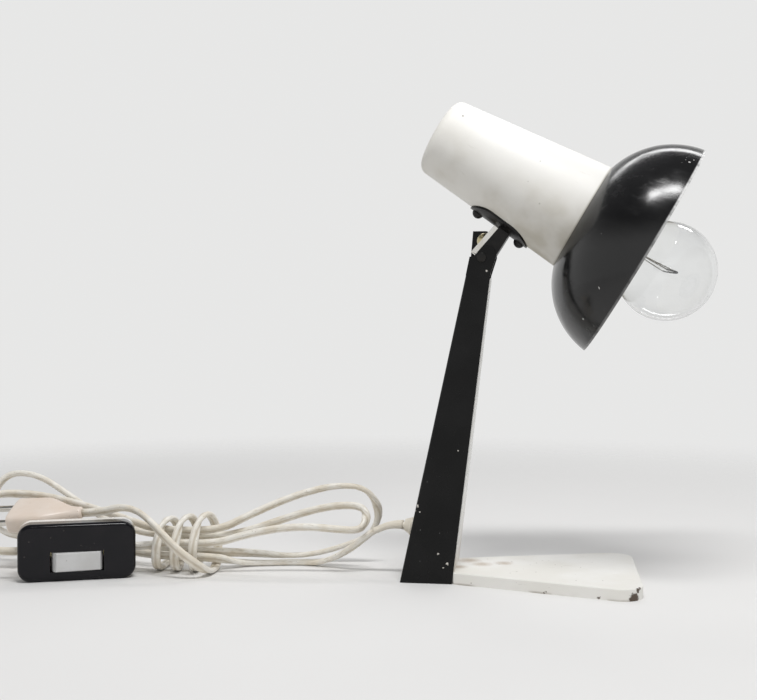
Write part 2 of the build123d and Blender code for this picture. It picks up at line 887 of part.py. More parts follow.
def wraps():
    """Turns of cord round the waist, as points of a six-sided screw that starts under it.

    It widens as it goes, and rests on the floor in every turn.
    """
    made = []
    for i in range(wrap_turns * wrap_sides):
        turn = (i + 0.5) / wrap_sides
        a = math.radians(270 - 360 * turn)
        x = wrap_first_x + wrap_pitch * turn
        radius = wrap_r + wrap_grow * turn
        corner_r = radius / math.cos(math.pi / wrap_sides)
        y = waist[1] + corner_r * math.cos(a)
        made.append((x, y, radius + lay + 0.1 + corner_r * math.sin(a)))
    return made


lay = cord_d / 2

# The free lead, from the grommet down to the floor behind the hank
lead_route = [
    grommet_point(0),
    grommet_point(11),
    (-50.5, 1.6, 27.0),
    (-58.5, 3.6, 20.5),
    (-67.0, 7.5, 13.6),
    (-77.5, 13.5, 7.0),
    (-90.0, 18.5, lay + 0.2),
    (-104.0, 20.5, lay),
    (-118.0, 16.5, lay),
]


def hank_route():
    """Lamp side: through the waist to the left loop, back to the inner right loop, to the switch."""
    left_low, left_high = (0.0, 17.0), (16.0, 60.0)
    right_high, right_low = (7.0, 42.5), (-6.0, 26.5)
    route = [lead_route[-1], (-132.0, 12.5, lay), (-142.5, 4.0, 4.4), (-151.0, -6.8, 8.8)]
    route += leg(3, -1, 127, left_low)
    route += turn_round(-1, 127, left_low, left_high)
    route += leg(0, -1, 127, left_high, 0.6, 3.2)[::-1]
    route += leg(0, 1, 108, right_high, 1.0, 1.5)
    route += turn_round(1, 108, right_high, right_low)
    route += leg(2, 1, 108, right_low, 1.0, 1.0, 5.0)[::-1]
    route += [(-180.5, -15.4, 18.8), switch_point(sw_len / 2 + 6.5), switch_point(sw_len / 2 - 2.0)]
    return route


def tail_route():
    """Mains side: from the switch to the outer right loop, round the waist, and on to the plug."""
    right_high, right_low = (20.0, 53.5), (32.0, 15.0)
    route = [switch_point(-sw_len / 2 + 2.0), switch_point(-sw_len / 2 - 12.0)]
    route += [(-292.0, -53.0, 22.0), (-303.0, -40.0, 31.0), (-306.0, -22.0, 41.0), (-299.0, -4.0, 46.0)]
    route += leg(1, -1, 131, (8.0, 45.0), 0.6, 1.2)[::-1]
    route += leg(1, 1, 107, right_high)
    route += turn_round(1, 107, right_high, right_low)
    route += leg(4, 1, 107, right_low, 0.35, 8.0, -7.5)[::-1]
    route += [waist_point(4, -1)]
    route += [(-203.0, 2.5, 10.3), (-216.0, 10.0, 8.6), (-223.0, 24.0, 6.5), (-217.0, 38.5, 4.2)]
    route += [(-203.5, 43.5, lay + 0.4), (-191.5, 36.0, lay), (-187.3, 22.5, lay), (-187.0, 7.0, lay + 0.3)]
    route += wraps()
    route += [(-151.0, -18.5, 3.0), (-152.5, -28.0, 5.8), (-158.5, -33.5, 11.5), (-168.0, -34.0, 19.0)]
    route += [(-178.0, -31.0, 27.5), (-188.0, -25.5, 35.0), (-198.0, -20.0, 39.8), (-210.0, -15.7, 41.0)]
    route += [plug_point(12.0), plug_point(0)]
    return route


def plug_point(out):
    """A point on the plug's axis, out from its tail along the cord."""
    return tuple(Vector(*plug_tail_at) + Vector(*plug_dir).normalized() * out)


def switch_point(along):
    """A point on the switch's long axis, where its cords run."""
    return tuple((switch_frame() * Pos(along, 0, sw_high / 2)).position)


def switch_frame():
    return Location((sw_x, sw_y, 0), (0, 0, sw_turn))


def sampled(path, step=2.0):
    count = int(path.length / step)
    return [path.position_at(i / count) for i in range(count + 1)]


def least_gap(points, others=None, step=2.0):
    """Least clear gap of a cord to itself, beyond four diameters along it, or to another cord."""
    skip = int(4 * cord_d / step)
    least = 1e9
    for i, a in enumerate(points):
        rest = others if others else points[i + skip:]
        for b in rest:
            least = min(least, (a - b).length)
    return least - cord_d


def rounded_case(y0, y1, front_round, back_round):
    """A switch half: a rounded block between y0 and y1, its outer face's edge rounded."""
    face = Plane.XZ * Pos(0, sw_high / 2) * RectangleRounded(sw_len, sw_high, sw_corner_r)
    body = Pos(0, y1, 0) * extrude(face, y1 - y0)
    if front_round:
        body = fillet(body.faces().sort_by(Axis.Y)[0].edges(), front_round)
    if back_round:
        body = fillet(body.faces().sort_by(Axis.Y)[-1].edges(), back_round)
    return body


def switch_cord_bores():
    cut = Pos(0, 0, sw_high / 2) * Rot(0, 90, 0) * Cylinder(cord_d / 2 + fit, 2 * sw_len)
    return cut & (box(-99, -sw_len / 2 + 2.0, -9, 9, 0, 99) + box(sw_len / 2 - 2.0, 99, -9, 9, 0, 99))


def switch_cavity():
    high = sw_high - 2 * sw_wall
    face = Plane.XZ * Pos(0, sw_high / 2) * RectangleRounded(sw_len - 2 * sw_wall, high, sw_corner_r - sw_wall)
    depth = sw_front_t + sw_back_t - 2 * sw_wall
    return Pos(0, sw_back_t - sw_wall, 0) * extrude(face, depth)


def rocker_bosses():
    """Two bosses on the front shell's inside that hold the rocker's pin."""
    made = None
    for side in (-1, 1):
        near = rocker_z + side * (rocker_high / 2 + rocker_gap)
        z0, z1 = sorted((near, near + side * 2.6))
        y0 = -sw_front_t + sw_wall - 0.2
        piece = box(-3, 3, y0, rocker_pin_y + 2.2, z0, z1)
        made = piece if made is None else made + piece
    return made


def rocker_pin_bore(clearance):
    length = rocker_high + 2 * rocker_gap + 4.0
    return Pos(0, rocker_pin_y, rocker_z) * Cylinder(rocker_pin_r + clearance, length)


def switch_front_shell():
    body = rounded_case(-sw_front_t, 0, sw_edge_r, 0) - switch_cavity()
    body += rocker_bosses()
    body -= rocker_pin_bore(fit)
    window_half = rocker_half + rocker_gap
    window_high = rocker_high / 2 + rocker_gap
    body -= box(-window_half, window_half, -sw_front_t - 1, -sw_front_t + sw_wall + 0.1,
                rocker_z - window_high, rocker_z + window_high)
    body -= switch_cord_bores()
    return switch_frame() * body


def switch_back_shell():
    body = rounded_case(0, sw_back_t, 0, sw_edge_r) - switch_cavity()
    for x, z in switch_screw_places():
        post = box(x - 3, x + 3, 0, sw_back_t - sw_wall + 0.1, z - 3, z + 3)
        body += post
        body -= Pos(x, 0, z) * rod(1.3, -30, 30)
        body -= Pos(x, 0, z) * rod(2.6, sw_back_t - 1.4, 30)
    body -= switch_cord_bores()
    return switch_frame() * body


def switch_screw_places():
    return [(-26.0, 25.5), (26.0, 25.5)]


def switch_screws():
    made = []
    for x, z in switch_screw_places():
        cap = rod(2.4, sw_back_t - 1.4, sw_back_t - 0.1)
        shank = rod(1.25, 0.2, sw_back_t - 1.4)
        made.append(Pos(x, 0, z) * (cap + shank))
    return switch_frame() * Compound(children=made)


def switch_rocker():
    """A rocker whose ends follow a circle about its pin, so its gap stays even as it tips."""
    face_y = rocker_pin_y - rocker_face
    end_y = face_y + rocker_crown
    over = rocker_half + 1
    heel_y = rocker_pin_y + rocker_heel
    edges = [
        ThreePointArc((-over, end_y), (0, face_y), (over, end_y)),
        Line((over, end_y), (over, rocker_pin_y - rocker_heel)),
        Line((over, rocker_pin_y - rocker_heel), (4, heel_y)),
        Line((4, heel_y), (-4, heel_y)),
        Line((-4, heel_y), (-over, rocker_pin_y - rocker_heel)),
        Line((-over, rocker_pin_y - rocker_heel), (-over, end_y)),
    ]
    block = Pos(0, 0, rocker_z - rocker_high / 2) * extrude(make_face(edges), rocker_high)
    body = block & (Pos(0, rocker_pin_y, rocker_z) * Cylinder(rocker_half, rocker_high))
    front = body.faces().sort_by_distance((0, face_y, rocker_z))[0]
    body = fillet(front.edges(), rocker_edge_r) - rocker_pin_bore(run_fit)
    tip = Pos(0, rocker_pin_y, 0) * Rot(0, 0, rocker_tilt) * Pos(0, -rocker_pin_y, 0)
    return switch_frame() * tip * body


def rocker_pin():
    length = rocker_high + 2 * rocker_gap + 3.6
    return switch_frame() * Pos(0, rocker_pin_y, rocker_z) * Cylinder(rocker_pin_r, length)


def switch_terminals():
    """Two brass blocks on the back shell's floor, and the contact bar under the rocker."""
    floor = sw_back_t - sw_wall
    made = []
    for x in (-16.0, 16.0):
        block = box(x - 4, x + 4, floor - 7, floor, 13, 22)
        block -= Pos(x, floor - 3.5, 17.5) * Rot(0, 90, 0) * Cylinder(1.3, 20)
        made.append(block)
    return switch_frame() * Compound(children=made)


def plug_frame():
    roll = math.radians(plug_roll)
    x_dir = Vector(*plug_dir).normalized()
    up = Vector(0, -math.sin(roll), math.cos(roll))
    return Plane(origin=plug_tail_at, x_dir=x_dir, z_dir=(up - x_dir * up.dot(x_dir)).normalized())


def plug_section(x, wide, thick):
    return Pos(x, 0, 0) * Plane.YZ.location * RectangleRounded(wide, thick, min(wide, thick) * 0.46)


def plug_body():
    face_part = loft([plug_section(-plug_len, plug_w, plug_t), plug_section(-plug_len + 20, plug_w - 1, plug_t)])
    body = face_part + loft([
        plug_section(-plug_len + 20, plug_w - 1, plug_t),
        plug_section(-18, plug_w * 0.62, plug_t - 1.5),
        plug_section(0, plug_tail_w, plug_tail_t),
    ])
    body = plug_frame().location * body
    for y in (-plug_pin_pitch / 2, plug_pin_pitch / 2):
        body -= plug_frame().location * Pos(-plug_len, y, 0) * Rot(0, 90, 0) * Cylinder(plug_pin_r, 12)
    return body


def plug_pins():
    made = []
    for y in (-plug_pin_pitch / 2, plug_pin_pitch / 2):
        pin = turned(
            (-plug_len - plug_pin_len, 0), (-plug_len - plug_pin_len, plug_pin_r - 1),
            (-plug_len - plug_pin_len + 1, plug_pin_r), (-plug_len + 6, plug_pin_r), (-plug_len + 6, 0),
        )
        made.append(Pos(0, y, 0) * pin)
    return plug_frame().location * Compound(children=made)


def write(name, shape):
    export_step(shape, f"parts/{name}.step")


def main():
    os.makedirs("parts", exist_ok=True)
    rigid = [
        base_plate, base_screws, base_nuts, column_shell, column_front, hinge_pin, hinge_bush,
        hinge_washers, cord_grommet, column_cord, column_cores, barrel, bell, saddle_plate,
        saddle_screws, saddle_nuts, head_bracket, clamp_leaf, clamp_screw, clamp_nut, holder_strap,
        holder_nipple, nipple_nut, holder_body, holder_ring, holder_insert, holder_sleeve,
        holder_contact, bulb_glass, bulb_cap, bulb_contact, bulb_stem, bulb_wires, bulb_filament,
        head_cores, switch_front_shell, switch_back_shell, switch_screws, switch_rocker, rocker_pin,
        switch_terminals, plug_body, plug_pins,
    ]
    for make in rigid:
        write(make.__name__, make())
    lead, lead_path = tube(lead_route, cord_d, "cord_lead")
    hank, hank_path = tube(hank_route(), cord_d, "cord_hank")
    tail, tail_path = tube(tail_route(), cord_d, "cord_tail")
    for name, shape in (("cord_lead", lead), ("cord_hank", hank), ("cord_tail", tail)):
        write(name, shape)
    lead_points, hank_points, tail_points = sampled(lead_path), sampled(hank_path), sampled(tail_path)
    print("least gap of the hank to itself", round(least_gap(hank_points), 2))
    print("least gap of the tail to itself", round(least_gap(tail_points), 2))
    print("least gap of hank and tail", round(least_gap(hank_points, tail_points), 2))
    print("least gap of lead and tail", round(least_gap(lead_points, tail_points), 2))


main()
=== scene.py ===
# %% [markdown]
# A small bedside lamp from the workshop's point of view. Its hard parts, the enamelled shade,
# the folded column, the base plate and the fittings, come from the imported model. This notebook
# gives them their finishes and builds what a solid can't show well: the flat twin cord, the
# moulded plug, the bulb's screw cap and its fine coil.

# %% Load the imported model
import json
import math
import bpy
import numpy as np
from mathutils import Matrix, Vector


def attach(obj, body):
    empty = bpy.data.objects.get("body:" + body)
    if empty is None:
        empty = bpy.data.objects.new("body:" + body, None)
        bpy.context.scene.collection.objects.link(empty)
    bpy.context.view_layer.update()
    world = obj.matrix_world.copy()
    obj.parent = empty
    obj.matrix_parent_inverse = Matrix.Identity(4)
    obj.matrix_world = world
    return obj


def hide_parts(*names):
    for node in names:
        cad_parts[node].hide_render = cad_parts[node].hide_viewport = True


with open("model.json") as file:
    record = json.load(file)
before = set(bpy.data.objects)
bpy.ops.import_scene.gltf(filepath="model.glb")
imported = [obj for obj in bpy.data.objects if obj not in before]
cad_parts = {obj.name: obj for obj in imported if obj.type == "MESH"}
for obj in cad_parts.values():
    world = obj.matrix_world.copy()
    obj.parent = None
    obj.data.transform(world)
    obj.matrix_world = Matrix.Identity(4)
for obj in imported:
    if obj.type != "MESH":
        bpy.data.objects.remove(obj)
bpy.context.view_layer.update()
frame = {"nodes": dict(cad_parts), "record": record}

nodes = frame["nodes"]
print("pieces of the packed model:", len(nodes))

# %% [markdown]
# The camera stands beside the lamp, level with its middle, and looks a little towards the rear,
# where the cord lies. Its distance and its focal length together make the perspective. Both are
# the photograph's own, so the near edge of the bell and the far end of the cord keep their true
# proportions. The Standard view transform shows a colour as it was written.

# %% Camera
camera_spot = (0.05429, -0.7144, 0.1552)
camera_azimuth = math.radians(8.118)
camera_dip = math.radians(1.2001)
focal_length = 55.09


def sight(azimuth, dip):
    """Unit vector of a line of sight: azimuth turns it to the left, dip lowers it."""
    flat = math.cos(dip)
    return Vector((-math.sin(azimuth) * flat, math.cos(azimuth) * flat, -math.sin(dip)))


lens = bpy.data.cameras.new("view_camera")
lens.sensor_width = 36
lens.lens = focal_length
lens.clip_start = 0.01
camera = bpy.data.objects.new("view_camera", lens)
camera.location = camera_spot
camera.rotation_euler = sight(camera_azimuth, camera_dip).to_track_quat("-Z", "Y").to_euler()
bpy.context.scene.collection.objects.link(camera)
bpy.context.scene.camera = camera
bpy.context.scene.view_settings.view_transform = "Standard"
print("camera at", camera_spot, "with a lens of", focal_length, "mm")

# %% [markdown]
# Every new piece is a grid of points wrapped round something: rings along a path, or a profile
# turned about an axis. One helper turns such a grid into a closed mesh, with a cap at each end or
# the last ring joined to the first, and gives it a UV map whose U runs along the piece in metres
# and whose V runs once round it. A pattern on a cord can then follow the cord.

# %% Grid to mesh
def angles(sides):
    """Equal steps round a circle, from zero."""
    return 2 * np.pi * np.arange(sides) / sides


def fan(corners, middle):
    """Triangles from each corner number and the next one round to a middle point's number."""
    return np.stack([corners, np.roll(corners, -1), np.full(len(corners), middle)], -1).tolist()


def surface(name, rings, loop=False, caps=(True, True)):
    """Mesh from an array of rings by sides by 3.

    Each ring is joined to the next by quads, and goes counter-clockwise seen from the far end, so
    the faces point outwards. Without loop, a fan to the ring's middle closes each end that caps
    asks for: the first, the last.
    """
    count, sides = rings.shape[:2]
    i, j = np.meshgrid(np.arange(count if loop else count - 1), np.arange(sides), indexing="ij")
    up = (i + 1) % count
    right = (j + 1) % sides
    quads = np.stack([i * sides + j, i * sides + right, up * sides + right, up * sides + j], -1)
    faces = quads.reshape(-1, 4).tolist()
    step = np.linalg.norm(np.diff(rings.mean(1), axis=0, append=rings[:1].mean(1)), axis=1)
    along = np.concatenate([[0.0], np.cumsum(step)])
    u = np.stack([along[i], along[i], along[i + 1], along[i + 1]], -1)
    v = np.stack([j, j + 1, j + 1, j], -1) / sides
    uv = np.stack([u, v], -1).reshape(-1, 2)
    points = rings.reshape(-1, 3)
    if not loop:
        first, last = len(points), len(points) + 1
        points = np.concatenate([points, rings[:1].mean(1), rings[-1:].mean(1)])
        near = [(b, a, c) for a, b, c in fan(np.arange(sides), first)] if caps[0] else []
        far = fan(np.arange(sides) + (count - 1) * sides, last) if caps[1] else []
        faces += near + far
        uv = np.concatenate([uv, np.zeros((3 * len(near + far), 2))])
    mesh = bpy.data.meshes.new(name)
    mesh.from_pydata(points.tolist(), [], faces)
    mesh.uv_layers.new(name="along").data.foreach_set("uv", uv.ravel())
    mesh.polygons.foreach_set("use_smooth", np.ones(len(faces), bool))
    mesh.update()
    piece = bpy.data.objects.new(name, mesh)
    bpy.context.scene.collection.objects.link(piece)
    return piece


print("a ring of four sides has its points at", angles(4).round(3), "radians")

# %% [markdown]
# The cord is a flat twin: two insulated conductors side by side in one cream jacket, 5.8 mm wide
# and 3.6 mm thick, with a shallow groove where they meet. A bevelled curve would make it round,
# so the section is carried along the route by hand. The route itself is one smooth NURBS line,
# and its control points are where the cord is steered, not where it passes.

# %% Reading a smooth route
def route_line(route, samples=12, same_place=1e-6):
    """Points along the NURBS line of order 3 that a route's points steer, without doubles."""
    curve = bpy.data.curves.new("route", "CURVE")
    curve.dimensions = "3D"
    curve.resolution_u = samples
    spline = curve.splines.new("NURBS")
    spline.points.add(len(route) - 1)
    spline.points.foreach_set("co", np.column_stack([route, np.ones(len(route))]).ravel())
    spline.order_u = 3
    spline.use_endpoint_u = True
    holder = bpy.data.objects.new("route", curve)
    mesh = bpy.data.meshes.new_from_object(holder)
    line = np.empty(len(mesh.vertices) * 3)
    mesh.vertices.foreach_get("co", line)
    bpy.data.objects.remove(holder)
    bpy.data.curves.remove(curve)
    bpy.data.meshes.remove(mesh)
    line = line.reshape(-1, 3)
    apart = np.linalg.norm(np.diff(line, axis=0), axis=1) > same_place
    return line[np.concatenate([[True], apart])]


def distance_gone(line):
    """Distance from a line's start to each of its points, as the running sum of its steps."""
    return np.concatenate([[0.0], np.cumsum(np.linalg.norm(np.diff(line, axis=0), axis=1))])


# %% [markdown]
# A flat cord bends easily over its flat side and hardly at all over its edge, so in a tight turn
# its wide side lies along the axis of the bend. The direction of the wide side is relaxed along
# the cord: each point takes the mean of its neighbours, pulled a little towards the bend's axis
# where the cord bends hard, towards level where it lies on the floor, and elsewhere towards the
# half-turned lie that the hank was wound with. That gives the slow twists of a real hank.

# %% The lie of a flat cord
# A bend pulls with its whole share from this curvature on, which is one over its radius.
full_bend, bend_share = 60.0, 0.015
# The floor begins to pull at this height and has its whole share this much lower.
floor_height, floor_depth, floor_share = 0.005, 0.003, 0.3
# The hank's wide side lies across this direction where nothing else pulls.
wound_about, wound_share = [-0.10, 0.75, 0.65], 0.0015


def unit(vectors):
    """Vectors divided by their own lengths."""
    return vectors / np.maximum(np.linalg.norm(vectors, axis=-1, keepdims=True), 1e-12)


def aligned(vectors, guide):
    """Vectors turned end for end where they point away from the guide."""
    return vectors * np.where((vectors * guide).sum(-1, keepdims=True) < 0, -1.0, 1.0)


def cord_frame(line, rounds=1500):
    """Tangent, wide direction and thin direction at each point, by repeated averaging."""
    tangent = unit(np.gradient(line, axis=0))
    step = np.linalg.norm(np.gradient(line, axis=0), axis=1, keepdims=True)
    bend = np.cross(tangent, np.gradient(tangent, axis=0) / step)
    tightness = np.linalg.norm(bend, axis=1, keepdims=True)
    bend_pull = np.clip(tightness / full_bend, 0, 1) ** 2 * bend_share
    floor_pull = np.clip((floor_height - line[:, 2:]) / floor_depth, 0, 1) * floor_share
    level = unit(np.cross(tangent, [0.0, 0.0, 1.0]))
    axis = unit(bend)
    wound = np.cross(tangent, wound_about)
    wide = unit(wound)
    for _ in range(rounds):
        before = aligned(np.roll(wide, 1, 0), wide)
        after = aligned(np.roll(wide, -1, 0), wide)
        before[0], after[-1] = wide[0], wide[-1]
        wide = (before + after) / 2
        wide = wide + bend_pull * aligned(axis, wide) + floor_pull * aligned(level, wide)
        wide = wide + wound_share * aligned(wound, wide)
        wide = unit(wide - tangent * (wide * tangent).sum(-1, keepdims=True))
    flips = np.where((wide[1:] * wide[:-1]).sum(-1) < 0, -1.0, 1.0)
    wide[1:] *= np.cumprod(flips)[:, None]
    return tangent, wide, np.cross(tangent, wide)


print("a bend tighter than", round(1000 / full_bend), "mm turns the wide side with its whole share")

# %% [markdown]
# The section starts as a circle that is drawn apart along its width. A hyperbolic tangent makes
# the two ends round and the middle flat, and a bell curve pinches the middle into a groove. The
# section is then set up at each point of the line, on its wide and its thin direction, and what
# would sink into the floor is lifted onto it.

# %% Section of the twin cord
cord_width = 0.0058
cord_thick = 0.0036
cord_sides = 20
floor_gap = 0.0001


def twin_section(width, thick, apart=2.6, groove=0.2, groove_share=0.45):
    """Two round lobes with a groove.

    Across is the core, half of what the width is over the thickness, times the tanh of the cosine,
    plus half the thickness times the cosine. Up is half the thickness times the sine, times one
    less a Gaussian of the distance from the middle.
    """
    turn = angles(cord_sides)
    core = (width - thick) / 2
    across = core * np.tanh(apart * np.cos(turn)) / np.tanh(apart) + thick / 2 * np.cos(turn)
    pinch = 1 - groove * np.exp(-((across / (groove_share * core)) ** 2))
    return np.stack([across, thick / 2 * np.sin(turn) * pinch], -1)


def set_up(line, wide, thin, section):
    """Rings of one section, or of a section for each point, along a line."""
    return line[:, None] + section[..., :1] * wide[:, None] + section[..., 1:] * thin[:, None]


def carried(line, section):
    """Rings of a section along a line, flattened where they meet the floor."""
    _, wide, thin = cord_frame(line)
    rings = set_up(line, wide, thin, section)
    rings[..., 2] = np.maximum(rings[..., 2], floor_gap)
    return rings


cord_section = twin_section(cord_width, cord_thick)
print("section of the cord, in mm:", (1000 * np.ptp(cord_section, axis=0)).round(2))

# %% [markdown]
# The lamp's side of the cord leaves the grommet, drops to the floor behind the hank, passes
# through its waist into the long left loop, comes back to the inner right loop and ends in the
# switch. The points are those of the model's own route, with the ones that lie on the floor set
# to about the flat cord's half thickness.

# %% Cord from the lamp to the switch
lamp_route = np.array([
    (-0.0253, 0, 0.0304), (-0.036, 0, 0.0326), (-0.0505, 0.0016, 0.027), (-0.0585, 0.0036, 0.0205),
    (-0.067, 0.0075, 0.0136), (-0.0775, 0.0135, 0.0068), (-0.09, 0.0185, 0.002),
    (-0.104, 0.0205, 0.0017), (-0.118, 0.0165, 0.0017), (-0.132, 0.0125, 0.0019), (-0.1425, 0.004, 0.0044),
    (-0.151, -0.0068, 0.0088), (-0.189, -0.0121, 0.0102), (-0.2104, -0.0083, 0.0123),
    (-0.2339, -0.0047, 0.0143), (-0.2575, -0.0019, 0.0159), (-0.2789, -0.0004, 0.0168),
    (-0.2986, 0.001, 0.0196), (-0.3081, 0.0054, 0.0316), (-0.3081, 0.0106, 0.0454),
    (-0.2986, 0.015, 0.0574), (-0.2789, 0.0157, 0.0562), (-0.2575, 0.0144, 0.0437),
    (-0.2339, 0.0118, 0.0292), (-0.2104, 0.0077, 0.022), (-0.189, -0.0004, 0.021),
    (-0.149, -0.0004, 0.021), (-0.1314, 0.0019, 0.0247), (-0.112, 0.0041, 0.0313),
    (-0.0927, 0.0059, 0.0377), (-0.0751, 0.0068, 0.0415), (-0.0598, 0.0062, 0.0415),
    (-0.0556, 0.0026, 0.0371), (-0.0556, -0.0016, 0.0319), (-0.0598, -0.0052, 0.0275),
    (-0.0751, -0.0063, 0.0287), (-0.0927, -0.0076, 0.0299), (-0.112, -0.01, 0.0285),
    (-0.1314, -0.0131, 0.0243), (-0.149, -0.0162, 0.0191), (-0.1805, -0.0154, 0.0188),
    (-0.1921, -0.0194, 0.0175), (-0.2, -0.0225, 0.0175),
])
lamp_line = route_line(lamp_route)
lamp_cord = surface("lamp_cord", carried(lamp_line, cord_section))
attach(lamp_cord, "stand")
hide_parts("cord_lead", "cord_hank")
print("lamp cord", round(distance_gone(lamp_line)[-1], 3), "m,", len(lamp_line), "rings")

# %% [markdown]
# The mains side leaves the switch, makes the outer right loop and goes round the waist three
# times before it comes up over the hank to the plug. A winding is no separate thing here: its
# turns are more control points of the same line, about six a turn, so the cord's whole length
# stays in one piece.

# %% Cord from the switch to the plug
plug_route = np.array([
    (-0.2612, -0.0471, 0.0175), (-0.2742, -0.0523, 0.0175), (-0.292, -0.053, 0.022),
    (-0.303, -0.04, 0.031), (-0.306, -0.022, 0.041), (-0.299, -0.004, 0.046),
    (-0.2822, 0.0077, 0.0443), (-0.26, 0.0064, 0.0415), (-0.2356, 0.0037, 0.0365),
    (-0.2112, -0.0006, 0.0305), (-0.189, -0.009, 0.0258), (-0.149, -0.009, 0.0258),
    (-0.1316, -0.0001, 0.0344), (-0.1125, 0.0088, 0.0428), (-0.0933, 0.0155, 0.0492),
    (-0.0759, 0.0191, 0.0526), (-0.0597, 0.0207, 0.0512), (-0.0514, 0.0241, 0.0404),
    (-0.0514, 0.0279, 0.0281), (-0.0597, 0.0313, 0.0173), (-0.0759, 0.0316, 0.0106),
    (-0.0933, 0.03, 0.0055), (-0.1125, 0.0266, 0.0042), (-0.1316, 0.0204, 0.0069),
    (-0.149, -0.0023, 0.0114), (-0.189, -0.0023, 0.0114), (-0.203, 0.0025, 0.0103),
    (-0.216, 0.01, 0.0086), (-0.223, 0.024, 0.0065), (-0.217, 0.0385, 0.004),
    (-0.2035, 0.0435, 0.002), (-0.1915, 0.036, 0.0017), (-0.1873, 0.0225, 0.0017),
    (-0.187, 0.007, 0.0018), (-0.186, -0.0165, 0.0018), (-0.184, -0.0252, 0.0174),
    (-0.182, -0.0167, 0.0325), (-0.18, 0.0008, 0.0328), (-0.178, 0.0097, 0.0177),
    (-0.176, 0.0009, 0.0018), (-0.174, -0.017, 0.0018), (-0.172, -0.0261, 0.0181),
    (-0.17, -0.0171, 0.0341), (-0.168, 0.0012, 0.0344), (-0.166, 0.0106, 0.0186),
    (-0.164, 0.0014, 0.0018), (-0.162, -0.0174, 0.0018), (-0.16, -0.0271, 0.0189),
    (-0.158, -0.0176, 0.0357), (-0.156, 0.0017, 0.036), (-0.154, 0.0115, 0.0194),
    (-0.152, 0.0018, 0.0018), (-0.151, -0.0185, 0.0022), (-0.1525, -0.028, 0.0058),
    (-0.1585, -0.0335, 0.0115), (-0.168, -0.034, 0.019), (-0.178, -0.031, 0.0275),
    (-0.188, -0.0255, 0.035), (-0.198, -0.02, 0.0398), (-0.21, -0.0157, 0.041),
    (-0.224, -0.0125, 0.0366), (-0.236, -0.013, 0.036),
])
plug_line = route_line(plug_route)
plug_cord = surface("plug_cord", carried(plug_line, cord_section))
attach(plug_cord, "stand")
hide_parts("cord_tail")
print("plug cord", round(distance_gone(plug_line)[-1], 3), "m,", len(plug_line), "rings")

# %% [markdown]
# The plug is one moulding of pinkish cream, flat at the pins and drawn in to the cord at its
# tail. Its sections are superellipses, which go from a box to an oval by one exponent: 5 at the
# face, where the moulding is squarish, and near 2 at the tail. The first rings open up along a
# quarter circle to round the face's edge, and two small ones end the tail.

# %% Plug moulding
plug_tail = np.array([-0.236, -0.013, 0.036])
plug_axis = unit(np.array([0.998, 0.040, 0.052]))
plug_roll = math.radians(20.0)
plug_up = np.array([0, -math.sin(plug_roll), math.cos(plug_roll)])
plug_up = unit(plug_up - plug_axis * (plug_up @ plug_axis))
plug_side = np.cross(plug_up, plug_axis)
plug_length = 0.046
face_wide, face_thick, face_power, face_round = 0.0140, 0.0065, 5.0, 0.0020
tail_wide, tail_thick, tail_power = 0.0043, 0.0039, 2.2
neck_from, neck_length = 0.019, 0.024
# The body's rings stop this far from the end, and the two last ones stand nearer and are smaller.
body_left = 0.0015
tail_left, tail_lost = np.array([0.0007, 0.0001]), np.array([0.0006, 0.0016])


def superellipse(half_wide, half_thick, power, sides=48):
    """Points whose coordinates to the given power, over the half sizes, add up to one."""
    c, s = np.cos(angles(sides)), np.sin(angles(sides))
    y = half_wide[:, None] * np.sign(c) * np.abs(c) ** (2 / power[:, None])
    z = half_thick[:, None] * np.sign(s) * np.abs(s) ** (2 / power[:, None])
    return y, z


def plug_rings():
    """Rings from the face to the tail.

    Each size goes from the face's to the tail's by the smooth step of the distance along the
    neck, less what the round edge of the face and the two last rings take off.
    """
    edge_x = face_round * (1 - np.cos(np.linspace(0, np.pi / 2, 7)))
    body_x = np.linspace(face_round, plug_length - body_left, 26)[1:]
    x = np.concatenate([edge_x, body_x, plug_length - tail_left])
    inset = (face_round - np.minimum(x, face_round)) / face_round
    lost = face_round * (1 - np.sqrt(1 - inset ** 2))
    lost[-2:] = tail_lost
    share = np.clip((x - neck_from) / neck_length, 0, 1)
    ease = share * share * (3 - 2 * share)
    half_wide = face_wide + (tail_wide - face_wide) * ease - lost
    half_thick = face_thick + (tail_thick - face_thick) * ease - lost
    y, z = superellipse(half_wide, half_thick, face_power + (tail_power - face_power) * ease)
    along = (x - plug_length)[:, None, None] * plug_axis
    return plug_tail + along + y[..., None] * plug_side + z[..., None] * plug_up


plug_shell = surface("plug_shell", plug_rings())
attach(plug_shell, "stand")
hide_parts("plug_body")
print("plug", [round(v, 4) for v in plug_shell.dimensions])

# %% [markdown]
# Where the cord leaves the column it passes a cream grommet with a short soft collar that
# tapers down onto the jacket, so that it can't be bent sharply at the wall. The collar follows
# the first stretch of the cord's own line: a round section that turns into the twin section, a
# hair larger than the cord.

# %% Strain relief at the grommet
def collar_rings(line, start, stop, root_r, skin, fall=1.5):
    """Rings along part of a line: a circle's share falls by a power to none, the twin's grows."""
    gone = distance_gone(line)
    part = (gone >= start) & (gone <= stop)
    round_share = (1 - (gone[part] - start) / (stop - start))[:, None, None] ** fall
    turn = angles(cord_sides)
    circle = root_r * np.stack([np.cos(turn), np.sin(turn)], -1)
    twin = twin_section(cord_width + 2 * skin, cord_thick + 2 * skin)
    _, wide, thin = cord_frame(line)
    return set_up(line[part], wide[part], thin[part], circle * round_share + twin * (1 - round_share))


collar = surface("cord_collar", collar_rings(
    lamp_line, start=0.0055, stop=0.0265, root_r=0.0031, skin=0.0002,
))
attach(collar, "stand")
print("collar", [round(v, 4) for v in collar.dimensions])

